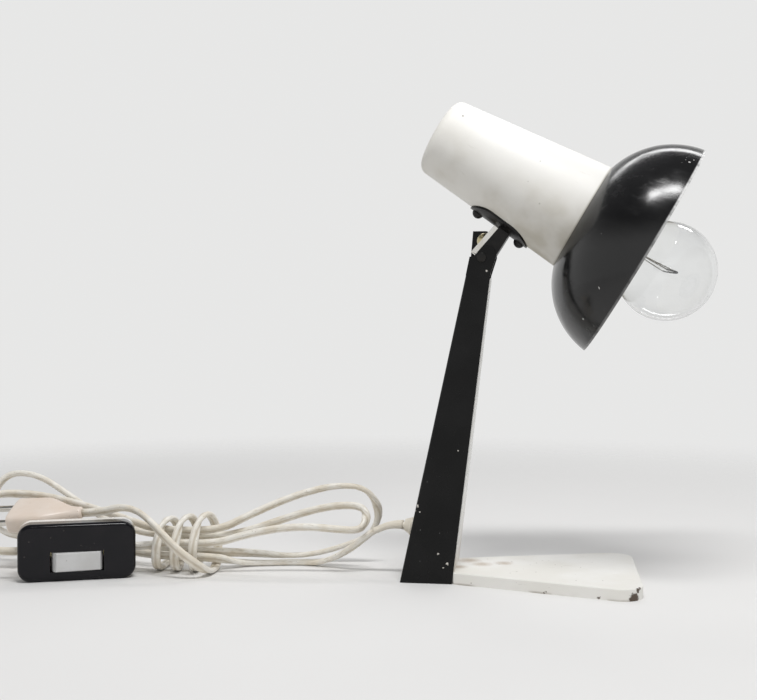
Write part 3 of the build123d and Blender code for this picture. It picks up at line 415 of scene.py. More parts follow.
# %% [markdown]
# A cord is more than its mesh: it is free to move, and it has a length and a stiffness. Only the
# length is worked out here. Each length is the line's own, so the whole lead from the lamp to the
# plug comes to about 1.8 metres.

print("cord in all:", round(distance_gone(lamp_line)[-1] + distance_gone(plug_line)[-1], 2), "m")

# %% [markdown]
# Inside the shade, the bulb hangs in a screw holder. Its cap is thin aluminium rolled into a
# round thread. A thread is a turned profile whose radius also depends on the angle: the same wave
# that runs along the axis slips by one pitch in each turn. Head pieces are worked out in the
# shade's own axes and then set in place, because that is how such a lamp is made and drawn.

# %% Bulb cap with its rolled thread
seam = np.array([0.0774, 0.0, 0.2210])
head_pitch = math.radians(30.6)
holder_droop = math.radians(1.5)
holder_setback = 0.060


def tilt(angle):
    """Turn about Y that dips +X by the angle."""
    c, s = math.cos(angle), math.sin(angle)
    return np.array([[c, 0, s], [0, 1, 0], [-s, 0, c]])


def holder_place(points):
    """From the holder's axes, x towards the bulb's tip, to the lamp's."""
    root = seam + tilt(head_pitch) @ np.array([-holder_setback, 0, 0])
    return root + points @ (tilt(head_pitch) @ tilt(holder_droop)).T


def turned(x, radius, sides=96):
    """Rings about the x axis from arrays of x and radius; radius may vary with the angle."""
    turn = angles(sides)
    radius = np.broadcast_to(radius if radius.ndim == 2 else radius[:, None], (len(x), sides))
    return np.stack([np.repeat(x[:, None], sides, 1), radius * np.cos(turn), radius * np.sin(turn)], -1)


cap_foot, cap_rim, cap_sheet = 0.0482, 0.0710, 0.00030
thread_pitch, thread_depth = 0.0036, 0.00030
thread_start, thread_stop, thread_fade = 0.0505, cap_rim - 0.0035, 0.002
cap_x = np.linspace(cap_foot, cap_rim, 110)
fade_in = np.clip((cap_x - thread_start) / thread_fade, 0, 1)
fade_out = np.clip((thread_stop - cap_x) / thread_fade, 0, 1)
wave = np.cos(2 * np.pi * cap_x[:, None] / thread_pitch - angles(96))
cone = np.interp(cap_x, [cap_foot, 0.0492, 0.0512, cap_rim], [0.0062, 0.0107, 0.01285, 0.0130])
outer_r = cone[:, None] + thread_depth * wave * (fade_in * fade_out)[:, None]
inner_r = outer_r[::-1] - cap_sheet
cap_rings = turned(np.concatenate([cap_x, cap_x[::-1]]), np.concatenate([outer_r, inner_r]))
bulb_cap = surface("bulb_screw_cap", holder_place(cap_rings), loop=True)
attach(bulb_cap, "head")
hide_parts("bulb_cap")
print("turns of the thread:", round((thread_stop - thread_start) / thread_pitch, 1))

# %% [markdown]
# The filament is a tungsten wire wound into a coil of under a millimetre, strung in an arch over
# its supports. Its line is a helix carried along that arch: the arch gives the centre, its
# tangent and two directions across it, and the wire turns round them.

# %% Filament coil
coil_turns, coil_r, wire_r = 46, 0.00042, 0.00013
arch_foot, arch_rise, arch_half, arch_sway = 0.1185, 0.007, 0.011, 0.0025


def filament_line(samples=10):
    """A helix of small radius about the arch from one lead wire to the other."""
    t = np.linspace(0, np.pi, coil_turns * samples + 1)
    arch = np.stack([
        arch_foot + arch_rise * np.sin(t), -arch_half * np.cos(t), arch_sway * np.sin(t),
    ], -1)
    tangent = unit(np.gradient(arch, axis=0))
    across = unit(np.cross(tangent, [0.0, 0.0, 1.0]))
    third = np.cross(tangent, across)
    spin = (2 * coil_turns * t)[:, None]
    return arch + coil_r * (across * np.cos(spin) + third * np.sin(spin))


def round_tube(line, radius, sides=6):
    """Rings of a circle along a line, set across it from a direction that it never takes."""
    tangent = unit(np.gradient(line, axis=0))
    side = unit(np.cross(tangent, [0.31, 0.17, 0.94]))
    other = np.cross(tangent, side)
    c, s = np.cos(angles(sides))[None, :, None], np.sin(angles(sides))[None, :, None]
    return line[:, None] + radius * (side[:, None] * c + other[:, None] * s)


filament = surface("filament_coil", round_tube(holder_place(filament_line()), wire_r))
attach(filament, "head")
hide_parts("bulb_filament")
print("wire in the coil:", round(distance_gone(filament_line())[-1], 3), "m")

# %% [markdown]
# Each finish is a small network of nodes. Short helpers keep the cells readable: one puts a node
# into a tree and fills its sockets, with a number or with a link, and the others are the few
# steps that every finish takes. Opaque colours are written as three numbers.

# %% Node helpers
def put(tree, kind, sockets=None, **settings):
    """Adds a node, sets its properties, and links or sets its sockets by name or number."""
    node = tree.nodes.new(kind)
    for key, value in settings.items():
        setattr(node, key, value)
    for key, value in (sockets or {}).items():
        socket = node.inputs[key]
        if isinstance(value, bpy.types.NodeSocket):
            tree.links.new(value, socket)
        else:
            socket.default_value = value
    return node


def arithmetic(tree, kind, a, b=0.0, clamp=False):
    """One Math node, as its output."""
    return put(tree, "ShaderNodeMath", {0: a, 1: b}, operation=kind, use_clamp=clamp).outputs[0]


def times(tree, a, b):
    """The product of two values."""
    return arithmetic(tree, "MULTIPLY", a, b)


def parted(tree, vector):
    """The x, y and z of a vector."""
    return put(tree, "ShaderNodeSeparateXYZ", {0: vector}).outputs


def ramp(tree, value, low, high, to_low=0.0, to_high=1.0):
    """Value mapped smoothly from low..high to to_low..to_high."""
    sockets = {"Value": value, "From Min": low, "From Max": high, "To Min": to_low, "To Max": to_high}
    return put(tree, "ShaderNodeMapRange", sockets, interpolation_type="SMOOTHSTEP").outputs["Result"]


def straight_ramp(tree, value, low, high):
    """Value mapped evenly from low..high to 0..1, and held there outside."""
    return put(tree, "ShaderNodeMapRange", {
        "Value": value, "From Min": low, "From Max": high, "To Min": 0.0, "To Max": 1.0,
    }).outputs["Result"]


def blended(tree, share, a, b):
    """Colour a turning into colour b by a share; a colour is three numbers or a link."""
    a, b = (c if isinstance(c, bpy.types.NodeSocket) else (*c, 1.0) for c in (a, b))
    return put(tree, "ShaderNodeMix", {0: share, 6: a, 7: b}, data_type="RGBA").outputs[2]


def laid(tree, colour, mask, strength, over):
    """A colour with another laid over it where the mask is, at a strength."""
    return blended(tree, times(tree, mask, strength), colour, over)


def roughened(tree, rough, mask, amount):
    """Roughness raised by an amount where the mask is, and held at one."""
    return arithmetic(tree, "ADD", rough, times(tree, mask, amount), clamp=True)


def new_group(name, inputs, outputs):
    """A shader node group with named sockets: its tree, its inputs and its outputs."""
    tree = bpy.data.node_groups.new(name, "ShaderNodeTree")
    for label, kind, value in inputs:
        socket = tree.interface.new_socket(name=label, in_out="INPUT", socket_type=kind)
        if value is not None:
            socket.default_value = value
    for label, kind in outputs:
        tree.interface.new_socket(name=label, in_out="OUTPUT", socket_type=kind)
    print("group:", name)
    return tree, tree.nodes.new("NodeGroupInput").outputs, tree.nodes.new("NodeGroupOutput").inputs


def grouped(tree, group, vector, **values):
    """Places a group in a material, with its own values; a label's spaces are underscores."""
    sockets = {label.replace("_", " "): value for label, value in values.items()}
    return put(tree, "ShaderNodeGroup", {"Vector": vector, **sockets}, node_tree=group).outputs


FLOAT, VECTOR = "NodeSocketFloat", "NodeSocketVector"

# %% [markdown]
# Sprayed enamel is never flat: it dries with a faint orange peel, a millimetre or two across.
# One group gives that height, with a slow mottle that later tints the colour and breaks up the
# gloss. A group puts out only what varies over the surface, and what is the same all over is set
# straight on the shader.

# %% Group: enamel skin
enamel_skin, given, result = new_group(
    "enamel_skin",
    [("Vector", VECTOR, None), ("Peel Scale", FLOAT, 650.0), ("Mottle Scale", FLOAT, 30.0)],
    [("Height", FLOAT), ("Mottle", FLOAT)],
)
peel = put(enamel_skin, "ShaderNodeTexNoise", {
    "Vector": given["Vector"], "Scale": given["Peel Scale"], "Detail": 2.0,
}).outputs[0]
mottle = put(enamel_skin, "ShaderNodeTexNoise", {
    "Vector": given["Vector"], "Scale": given["Mottle Scale"], "Detail": 4.0,
}).outputs[0]
enamel_skin.links.new(peel, result["Height"])
enamel_skin.links.new(ramp(enamel_skin, mottle, 0.35, 0.7), result["Mottle"])

# %% [markdown]
# Old enamel has pinhole specks and dust nibs. Cell noise gives one point in each cell: a small
# round dot stays where the distance to the point is short and the cell's random value is under
# the share that is asked for.

# %% Group: specks
specks, given, result = new_group(
    "specks",
    [("Vector", VECTOR, None), ("Scale", FLOAT, 300.0), ("Size", FLOAT, 0.2), ("Share", FLOAT, 0.1)],
    [("Mask", FLOAT)],
)
full_share = 0.6
cells = put(specks, "ShaderNodeTexVoronoi", {"Vector": given["Vector"], "Scale": given["Scale"]}).outputs
full_size = times(specks, given["Size"], full_share)
dot = straight_ramp(specks, cells["Distance"], given["Size"], full_size)
chance = put(specks, "ShaderNodeSeparateColor", {0: cells["Color"]}).outputs[0]
chosen = arithmetic(specks, "LESS_THAN", chance, given["Share"])
specks.links.new(times(specks, dot, chosen), result["Mask"])

# %% [markdown]
# A knock takes a flake of enamel off. The chip group measures the distance to one place, after
# the coordinates have been shaken by noise, so the edge of the flake comes out ragged. Stains use
# the same group with a larger radius and a softer edge.

# %% Group: chip or stain at a place
chip, given, result = new_group(
    "chip",
    [("Vector", VECTOR, None), ("Place", VECTOR, None), ("Radius", FLOAT, 0.001),
     ("Ragged", FLOAT, 0.0006), ("Softness", FLOAT, 0.2)],
    [("Mask", FLOAT)],
)


def vectors(kind, a, sockets, out=0):
    """One Vector Math node in the chip group, as its output."""
    return put(chip, "ShaderNodeVectorMath", {0: a, **sockets}, operation=kind).outputs[out]


shake = put(chip, "ShaderNodeTexNoise", {"Vector": given["Vector"], "Scale": 900.0, "Detail": 3.0})
centred = vectors("SUBTRACT", shake.outputs["Color"], {1: (0.5, 0.5, 0.5)})
shaken = vectors("SCALE", centred, {"Scale": given["Ragged"]})
moved = vectors("ADD", given["Vector"], {1: shaken})
away = vectors("DISTANCE", moved, {1: given["Place"]}, out="Value")
full_radius = times(chip, given["Radius"], arithmetic(chip, "SUBTRACT", 1.0, given["Softness"]))
chip.links.new(straight_ramp(chip, away, given["Radius"], full_radius), result["Mask"])

# %% [markdown]
# Scuffs and brushed metal are the same thing at two strengths: noise stretched along one
# direction. The group takes the stretch as a vector, so the lines can run any way the tool or the
# hand went.

# %% Group: drawn lines
drawn_lines, given, result = new_group(
    "drawn_lines",
    [("Vector", VECTOR, None), ("Stretch", VECTOR, (1.0, 1.0, 12.0)), ("Scale", FLOAT, 400.0)],
    [("Value", FLOAT), ("Scratch", FLOAT)],
)
pulled = put(
    drawn_lines, "ShaderNodeVectorMath", {0: given["Vector"], 1: given["Stretch"]},
    operation="MULTIPLY",
).outputs[0]
lines = put(drawn_lines, "ShaderNodeTexNoise", {
    "Vector": pulled, "Scale": given["Scale"], "Detail": 5.0,
}).outputs[0]
drawn_lines.links.new(lines, result["Value"])
drawn_lines.links.new(ramp(drawn_lines, lines, 0.66, 0.72), result["Scratch"])

# %% [markdown]
# A finish starts with a Principled shader and the coordinates it reads. Object coordinates are
# the lamp's own metres here, because every piece sits at the origin. For pieces of the head, a
# Mapping node takes them back to the shade's axes, so a pattern can say how far along the shade
# and how far from its axis a point lies. It ends with a colour, a roughness and a bump.

# %% Starting and ending a finish
finishes = {}


def finish(name, roughness, ior=1.5, **extra):
    """A material with one Principled shader whose even values are set on its own sockets."""
    made = bpy.data.materials.new(name)
    made.use_nodes = True
    shader = made.node_tree.nodes["Principled BSDF"]
    shader.inputs["Roughness"].default_value = roughness
    shader.inputs["IOR"].default_value = ior
    for label, value in extra.items():
        shader.inputs[label.replace("_", " ")].default_value = value
    finishes[name] = made
    return made.node_tree, shader


def coated(tree, shader, colour, rough, height, depth):
    """Feeds a shader its colour, its roughness and a bump whose depth is in metres."""
    tree.links.new(colour, shader.inputs["Base Color"])
    tree.links.new(rough, shader.inputs["Roughness"])
    bump = put(tree, "ShaderNodeBump", {"Height": height, "Distance": depth, "Strength": 1.0})
    tree.links.new(bump.outputs[0], shader.inputs["Normal"])
    print(list(finishes)[-1], "has", len(tree.nodes), "nodes")


def place(tree):
    """The piece's own coordinates in metres."""
    return put(tree, "ShaderNodeTexCoord").outputs["Object"]


def shade_place(tree):
    """Coordinates along the shade: x from the seam towards the mouth, y and z across."""
    return put(tree, "ShaderNodeMapping", {
        "Vector": place(tree), "Location": tuple(seam), "Rotation": (0.0, head_pitch, 0.0),
    }, vector_type="TEXTURE").outputs[0]


def chips_at(tree, vector, places, ragged, softness=0.25):
    """The union of chips at given places and radii, as one mask."""
    mask = 0.0
    for spot, radius in places:
        one = grouped(tree, chip, vector, Place=spot, Radius=radius, Ragged=ragged, Softness=softness)
        mask = arithmetic(tree, "MAXIMUM", mask, one["Mask"])
    return mask


# %% [markdown]
# Black enamel on the column: deep and even, with a low, broad gloss. The flakes are where
# the photograph shows them, at the rear edge by the cord, near the foot and at the knee, and they
# show light primer. Fine scuffs take some of the gloss.

# %% Finish: black column
tree, shader = finish("black_column", 0.3, Specular_IOR_Level=0.2)
at = place(tree)
skin = grouped(tree, enamel_skin, at, Peel_Scale=520.0, Mottle_Scale=34.0)
scuff = grouped(tree, drawn_lines, at, Stretch=(1.0, 1.0, 0.08), Scale=620.0)["Scratch"]
dust = grouped(tree, specks, at, Scale=260.0, Size=0.12, Share=0.05)["Mask"]
flakes = chips_at(tree, at, [
    ((-0.0212, -0.0193, 0.0462), 0.0011), ((-0.0226, -0.0190, 0.0436), 0.0009),
    ((-0.0196, -0.0197, 0.0425), 0.0005), ((-0.0082, -0.0216, 0.0178), 0.0007),
    ((-0.0027, -0.0220, 0.0120), 0.0009), ((-0.0052, -0.0219, 0.0094), 0.0006),
    ((0.0196, -0.0078, 0.1884), 0.0007), ((0.0034, -0.0166, 0.0796), 0.0005),
], ragged=0.0022)
primer, dust_grey = (0.62, 0.59, 0.54), (0.30, 0.30, 0.30)
colour = blended(tree, skin["Mottle"], (0.003, 0.003, 0.003), (0.007, 0.007, 0.007))
colour = laid(tree, colour, dust, 0.25, dust_grey)
colour = blended(tree, flakes, colour, primer)
rough = ramp(tree, skin["Mottle"], 0, 1, 0.22, 0.36)
rough = roughened(tree, roughened(tree, rough, scuff, 0.2), flakes, 0.3)
height = arithmetic(tree, "SUBTRACT", skin["Height"], times(tree, flakes, 2.0))
coated(tree, shader, colour, rough, height, depth=0.00004)

# %% [markdown]
# The bell is black outside and white within, as such shades are, so that the light comes out.
# Its sheet is only a millimetre thick, and outside and inside belong to one piece. The finish
# tells them apart by the bell's own arc, the circle through its seam, its middle and its rim: a
# point nearer to the arc's centre than the middle of the sheet is inside. At the rim the edge is
# grey: partly worn where cloths and fingers rub, partly a painted highlight, greyest at the top.

# %% Finish: bell, black outside and white inside
bell_profile = np.array([(0.0, 0.0340), (0.0136, 0.0556), (0.0420, 0.0690)])
bell_sheet = 0.001


def circle_through(points):
    """Centre and radius of the circle through three points.

    Each point's squared length is twice its product with the centre, plus one value that is the
    same for all: the radius squared less the centre's squared length. That is three equations.
    """
    rows = np.column_stack([2 * points, np.ones(3)])
    x, r, same = np.linalg.solve(rows, (points ** 2).sum(1))
    return x, r, math.sqrt(same + x * x + r * r)


def hypotenuse(tree, a, b):
    """The square root of the sum of two squares."""
    squares = arithmetic(tree, "POWER", a, 2.0), arithmetic(tree, "POWER", b, 2.0)
    return arithmetic(tree, "SQRT", arithmetic(tree, "ADD", *squares))


arc_x, arc_r, arc_radius = circle_through(bell_profile)
tree, shader = finish("bell_enamel", 0.16, Specular_IOR_Level=0.55)
along = shade_place(tree)
x, y, z = parted(tree, along)
from_arc = hypotenuse(
    tree, arithmetic(tree, "SUBTRACT", x, arc_x),
    arithmetic(tree, "SUBTRACT", hypotenuse(tree, y, z), arc_r),
)
sheet_middle = arc_radius - bell_sheet / 2
inside = ramp(tree, from_arc, sheet_middle + 0.1 * bell_sheet, sheet_middle - 0.1 * bell_sheet)
skin = grouped(tree, enamel_skin, along, Peel_Scale=420.0, Mottle_Scale=28.0)
dust = grouped(tree, specks, along, Scale=210.0, Size=0.13, Share=0.06)["Mask"]
wipe = grouped(tree, drawn_lines, along, Stretch=(0.2, 1.0, 1.0), Scale=240.0)["Value"]
flakes = chips_at(tree, place(tree), [
    ((0.0848, -0.0556, 0.1763), 0.0005), ((0.0766, -0.0387, 0.1591), 0.0004),
    ((0.1332, -0.0428, 0.2484), 0.0003), ((0.1350, -0.0440, 0.2468), 0.0005),
    ((0.1378, -0.0413, 0.2485), 0.0004), ((0.1306, -0.0456, 0.2469), 0.0003),
    ((0.1386, -0.0462, 0.2439), 0.0005), ((0.1340, -0.0402, 0.2502), 0.0002),
], ragged=0.0022)
# Painted highlight and wear: the grey rim is partly wear and partly a painted highlight that grows towards
# the top.
near_rim = ramp(tree, x, 0.0403, 0.0413)
lit_toward_top = ramp(tree, z, -0.025, 0.030, 0.25, 1.0)
worn_and_lit_lip = times(tree, times(tree, near_rim, ramp(tree, wipe, 0.3, 0.6, 0.45, 1.0)), lit_toward_top)
black = blended(tree, skin["Mottle"], (0.002, 0.002, 0.0022), (0.005, 0.005, 0.0055))
black = laid(tree, black, dust, 0.3, (0.35, 0.35, 0.36))
white = blended(tree, skin["Mottle"], (0.80, 0.78, 0.72), (0.74, 0.71, 0.63))
colour = blended(tree, inside, black, white)
colour = blended(tree, worn_and_lit_lip, colour, (0.66, 0.66, 0.65))
colour = blended(tree, flakes, colour, (0.70, 0.69, 0.66))
rough = ramp(tree, skin["Mottle"], 0, 1, 0.14, 0.22)
rough = arithmetic(tree, "ADD", rough, ramp(tree, wipe, 0.5, 0.75, 0, 0.12))
rough = roughened(tree, rough, arithmetic(tree, "MAXIMUM", worn_and_lit_lip, inside), 0.25)
coated(tree, shader, colour, rough, skin["Height"], depth=0.000018)

# %% [markdown]
# The barrel's enamel is a warm white. Its underside is darkened to yellow-grey, partly by real
# yellowing and dirt, heaviest near the seam with the bell, and partly as painted shade where less
# light falls. A thin dark line at the seam itself is painted shadow of the gap. It carries a few
# dark specks near its closed end.

# %% Finish: white barrel
tree, shader = finish("white_barrel", 0.45, Specular_IOR_Level=0.35)
along = shade_place(tree)
x, _, z = parted(tree, along)
skin = grouped(tree, enamel_skin, along, Peel_Scale=480.0, Mottle_Scale=22.0)
soot = grouped(tree, specks, along, Scale=240.0, Size=0.15, Share=0.045)["Mask"]
scuff = grouped(tree, drawn_lines, along, Stretch=(0.15, 1.0, 1.0), Scale=300.0)["Scratch"]
under = ramp(tree, z, 0.014, -0.024)
by_seam = ramp(tree, x, -0.030, -0.001)
far_end = ramp(tree, x, -0.050, -0.080, 0.35, 1.0)
# Painted shadow: a dark line along the seam with the bell stands in for the shade in the gap.
seam_shadow_line = ramp(tree, x, -0.0012, -0.0003)
# Painted shade and dirt: the underside is darkened to yellow-grey, partly real yellowing, partly painted
# shade.
yellowing_and_shade = times(tree, under, ramp(tree, skin["Mottle"], 0.0, 1.0, 0.35, 1.0))
yellowing_and_shade = times(tree, yellowing_and_shade, ramp(tree, by_seam, 0, 1, 0.7, 1.0))
colour = blended(tree, skin["Mottle"], (0.87, 0.86, 0.825), (0.84, 0.825, 0.78))
colour = laid(tree, colour, yellowing_and_shade, 0.85, (0.39, 0.35, 0.26))
colour = laid(tree, colour, scuff, 0.12, (0.40, 0.37, 0.30))
colour = laid(tree, colour, soot, far_end, (0.16, 0.14, 0.11))
colour = laid(tree, colour, seam_shadow_line, 0.6, (0.34, 0.31, 0.25))
rough = ramp(tree, skin["Mottle"], 0, 1, 0.42, 0.54)
coated(tree, shader, colour, rough, skin["Height"], depth=0.00003)

# %% [markdown]
# The base plate wears most at its edges: they are knocked dark at the front corners, and a brown
# stain lies by the column's foot. Height marks the lower edge, and the mottle eats into that
# mark, so that only stretches of edge are bare. Flakes at chosen places do the corners.

# %% Finish: white base plate
tree, shader = finish("white_base", 0.45, Specular_IOR_Level=0.35)
at = place(tree)
skin = grouped(tree, enamel_skin, at, Peel_Scale=420.0, Mottle_Scale=26.0)
grit = grouped(tree, specks, at, Scale=260.0, Size=0.16, Share=0.08)["Mask"]
scuff = grouped(tree, drawn_lines, at, Stretch=(0.25, 1.0, 1.0), Scale=320.0)["Scratch"]
flakes = chips_at(tree, at, [
    ((0.1060, -0.0520, 0.0010), 0.0042), ((0.1010, -0.0572, 0.0016), 0.0030),
    ((0.1085, -0.0500, 0.0060), 0.0024), ((0.0985, -0.0585, 0.0058), 0.0016),
    ((0.1098, -0.0400, 0.0012), 0.0018), ((0.0850, -0.0510, 0.0010), 0.0016),
    ((0.1085, -0.0475, 0.0068), 0.0010), ((0.0962, -0.0575, 0.0066), 0.0009),
    ((0.0560, -0.0395, 0.0008), 0.0013), ((0.1100, 0.0350, 0.0020), 0.0022),
], ragged=0.003)
stain = chips_at(tree, at, [
    ((0.0080, 0.0150, 0.0070), 0.0090), ((0.0165, 0.0050, 0.0070), 0.0080),
    ((0.0030, -0.0050, 0.0070), 0.0060), ((0.0300, 0.0100, 0.0070), 0.0070),
], ragged=0.006, softness=0.85)
low_edge = ramp(tree, parted(tree, at)[2], 0.0016, 0.0)
edge_wear = times(tree, low_edge, ramp(tree, skin["Mottle"], 0.5, 0.95))
colour = blended(tree, skin["Mottle"], (0.86, 0.85, 0.815), (0.81, 0.795, 0.745))
colour = laid(tree, colour, stain, 0.7, (0.42, 0.31, 0.21))
colour = laid(tree, colour, scuff, 0.18, (0.36, 0.32, 0.27))
colour = laid(tree, colour, grit, 0.7, (0.22, 0.18, 0.14))
colour = laid(tree, colour, edge_wear, 0.7, (0.20, 0.15, 0.11))
colour = blended(tree, flakes, colour, (0.10, 0.075, 0.055))
rough = ramp(tree, skin["Mottle"], 0, 1, 0.32, 0.5)
height = arithmetic(tree, "SUBTRACT", skin["Height"], times(tree, flakes, 2.5))
coated(tree, shader, colour, rough, height, depth=0.00004)

# %% [markdown]
# The front sheet is the same white, cleaner because it stands upright, and darker only towards
# its foot, in the corner with the base plate.

# %% Finish: white front sheet
tree, shader = finish("white_front", 0.42, Specular_IOR_Level=0.35)
at = place(tree)
skin = grouped(tree, enamel_skin, at, Peel_Scale=480.0, Mottle_Scale=26.0)
grit = grouped(tree, specks, at, Scale=280.0, Size=0.15, Share=0.06)["Mask"]
# The sheet is darkened towards its foot, in the corner with the base plate.
foot = ramp(tree, parted(tree, at)[2], 0.030, 0.007)
darker_foot = times(tree, foot, ramp(tree, skin["Mottle"], 0, 1, 0.3, 0.9))
colour = blended(tree, skin["Mottle"], (0.86, 0.85, 0.82), (0.82, 0.805, 0.765))
colour = laid(tree, colour, darker_foot, 0.5, (0.45, 0.36, 0.25))
colour = laid(tree, colour, grit, 0.6, (0.25, 0.21, 0.16))
rough = ramp(tree, skin["Mottle"], 0, 1, 0.3, 0.44)
coated(tree, shader, colour, rough, skin["Height"], depth=0.00003)

# %% [markdown]
# Small metal parts share one recipe with other numbers: a metal colour, lines from the tool, and
# spots where it has tarnished. Fittings that are painted black, such as the bracket, its saddle
# and the screws, are the same recipe without the metal.

# %% Finishes: metals and black fittings
def metal_finish(name, bright, dull, rough, stretch, tarnish, metallic=1.0, level=0.5):
    """Metal or paint whose colour goes from bright to dull in tarnished patches."""
    tree, shader = finish(name, sum(rough) / 2, Metallic=metallic, Specular_IOR_Level=level)
    at = place(tree)
    lines = grouped(tree, drawn_lines, at, Stretch=stretch, Scale=900.0)["Value"]
    patches = grouped(tree, enamel_skin, at, Peel_Scale=900.0, Mottle_Scale=160.0)["Mottle"]
    pits = grouped(tree, specks, at, Scale=700.0, Size=0.22, Share=0.12)["Mask"]
    colour = laid(tree, laid(tree, bright, patches, tarnish, dull), pits, 0.4 * tarnish, dull)
    coated(tree, shader, colour, ramp(tree, lines, 0.3, 0.7, *rough), lines, depth=0.00001)
    return tree, shader, colour


metals = {
    "plain_steel": ((0.62, 0.62, 0.61), (0.30, 0.27, 0.23), (0.22, 0.42), (1, 8, 1), 0.55),
    "yellowed_brass": ((0.74, 0.66, 0.42), (0.42, 0.36, 0.20), (0.18, 0.36), (1, 1, 8), 0.6),
    "nickel_plate": ((0.74, 0.72, 0.68), (0.50, 0.46, 0.40), (0.10, 0.22), (8, 1, 1), 0.3),
    "cap_aluminium": ((0.77, 0.77, 0.78), (0.55, 0.55, 0.55), (0.24, 0.40), (1, 1, 6), 0.3),
    "tungsten_wire": ((0.16, 0.16, 0.17), (0.08, 0.08, 0.09), (0.35, 0.5), (1, 1, 1), 0.4),
}
for name, (bright, dull, rough, stretch, tarnish) in metals.items():
    metal_finish(name, bright, dull, rough, stretch, tarnish)
metal_finish(
    "black_fittings", (0.004, 0.004, 0.004), (0.014, 0.012, 0.010), (0.28, 0.46), (1, 4, 1), 0.8,
    metallic=0.0, level=0.28,
)

# %% [markdown]
# The leaf is bright along its blade. The two narrow feet that it rests on the saddle with were
# painted black together with the saddle, so the metal stops where the blade's sides stop.

# %% Finish: bright leaf
blade_half = 0.0063
tree, shader, colour = metal_finish(
    "leaf_steel", (0.78, 0.77, 0.74), (0.55, 0.50, 0.42), (0.16, 0.32), (1, 9, 1), 0.35,
)
sideways = arithmetic(tree, "ABSOLUTE", parted(tree, place(tree))[1])
paint = ramp(tree, sideways, blade_half + 0.0001, blade_half + 0.00025)
colour = blended(tree, paint, colour, (0.004, 0.004, 0.004))
tree.links.new(colour, shader.inputs["Base Color"])
tree.links.new(arithmetic(tree, "SUBTRACT", 1.0, paint), shader.inputs["Metallic"])

# %% [markdown]
# Plastics of that time are pressed phenolic, urea and soft vinyl. Each is one recipe: two close
# colours in slow patches, a fine skin, some dirt in the pores and a gloss that hands have dulled
# in places.

# %% Finishes: plastics and ceramic
def moulded_finish(name, main, second, dirt, rough, pores=0.08, depth=0.00002, level=0.5):
    """Moulded plastic in two close colours with dirty pores."""
    tree, shader = finish(name, sum(rough) / 2, Specular_IOR_Level=level)
    at = place(tree)
    skin = grouped(tree, enamel_skin, at, Peel_Scale=700.0, Mottle_Scale=60.0)
    marks = grouped(tree, specks, at, Scale=420.0, Size=0.2, Share=pores)["Mask"]
    rubs = grouped(tree, drawn_lines, at, Stretch=(1.0, 0.3, 1.0), Scale=500.0)["Scratch"]
    colour = laid(tree, blended(tree, skin["Mottle"], main, second), marks, 0.5, dirt)
    dulled = roughened(tree, ramp(tree, skin["Mottle"], 0, 1, *rough), rubs, 0.15)
    coated(tree, shader, colour, dulled, skin["Height"], depth)


plastics = {
    "black_phenolic": dict(
        main=(0.003, 0.003, 0.005), second=(0.007, 0.006, 0.008), dirt=(0.10, 0.09, 0.08),
        rough=(0.08, 0.17), level=0.28),
    "holder_phenolic": dict(
        main=(0.012, 0.011, 0.010), second=(0.022, 0.018, 0.015), dirt=(0.08, 0.07, 0.06),
        rough=(0.22, 0.36)),
    "white_urea": dict(
        main=(0.85, 0.84, 0.81), second=(0.81, 0.79, 0.75), dirt=(0.35, 0.31, 0.25),
        rough=(0.16, 0.30)),
    "grey_rocker": dict(
        main=(0.62, 0.62, 0.615), second=(0.55, 0.55, 0.54), dirt=(0.26, 0.25, 0.24),
        rough=(0.46, 0.60), pores=0.16, depth=0.00004, level=0.3),
    "cream_vinyl": dict(
        main=(0.80, 0.705, 0.62), second=(0.76, 0.64, 0.54), dirt=(0.42, 0.32, 0.24),
        rough=(0.30, 0.46), pores=0.12, depth=0.00004),
    "grommet_cream": dict(
        main=(0.78, 0.73, 0.63), second=(0.72, 0.66, 0.55), dirt=(0.36, 0.30, 0.22),
        rough=(0.36, 0.5)),
    "glazed_ceramic": dict(
        main=(0.78, 0.75, 0.69), second=(0.72, 0.68, 0.60), dirt=(0.30, 0.26, 0.2),
        rough=(0.12, 0.25)),
}
for name, recipe in plastics.items():
    moulded_finish(name, **recipe)

# %% [markdown]
# The cord's jacket is cream vinyl gone uneven with age. It is darker in the groove between the
# two conductors, so the pattern reads the piece's own UV map: V is a quarter and three quarters
# in the grooves, and U runs along the cord. Twice V, less its whole part, is a half at both.

# %% Finish: cord jacket
tree, shader = finish("cord_jacket", 0.42)
uv = put(tree, "ShaderNodeUVMap", uv_map="along").outputs[0]
round_half = arithmetic(tree, "FRACT", times(tree, parted(tree, uv)[1], 2.0))
from_groove = arithmetic(tree, "ABSOLUTE", arithmetic(tree, "SUBTRACT", round_half, 0.5))
groove = ramp(tree, from_groove, 0.10, 0.0)
at = place(tree)
skin = grouped(tree, enamel_skin, at, Peel_Scale=800.0, Mottle_Scale=75.0)
flecks = grouped(tree, specks, at, Scale=520.0, Size=0.24, Share=0.16)["Mask"]
streaks = grouped(tree, drawn_lines, uv, Stretch=(0.25, 0.016, 1.0), Scale=700.0)["Value"]
colour = blended(tree, skin["Mottle"], (0.88, 0.855, 0.79), (0.74, 0.68, 0.57))
colour = blended(tree, ramp(tree, streaks, 0.50, 0.72, 0.0, 0.55), colour, (0.50, 0.43, 0.32))
# The jacket is darkened in the groove between the two conductors.
colour = laid(tree, colour, groove, 0.55, (0.46, 0.38, 0.26))
colour = laid(tree, colour, flecks, 0.35, (0.34, 0.27, 0.18))
rough = ramp(tree, skin["Mottle"], 0, 1, 0.36, 0.52)
coated(tree, shader, colour, rough, skin["Height"], depth=0.00005)

# %% [markdown]
# Clear glass has no colour of its own: what shows is its edge, its highlights and what it bends.
# The bulb is a real shell with an inner and an outer wall, so plain transmission draws the darker
# outline by itself. A breath of dust roughens it a little in patches.

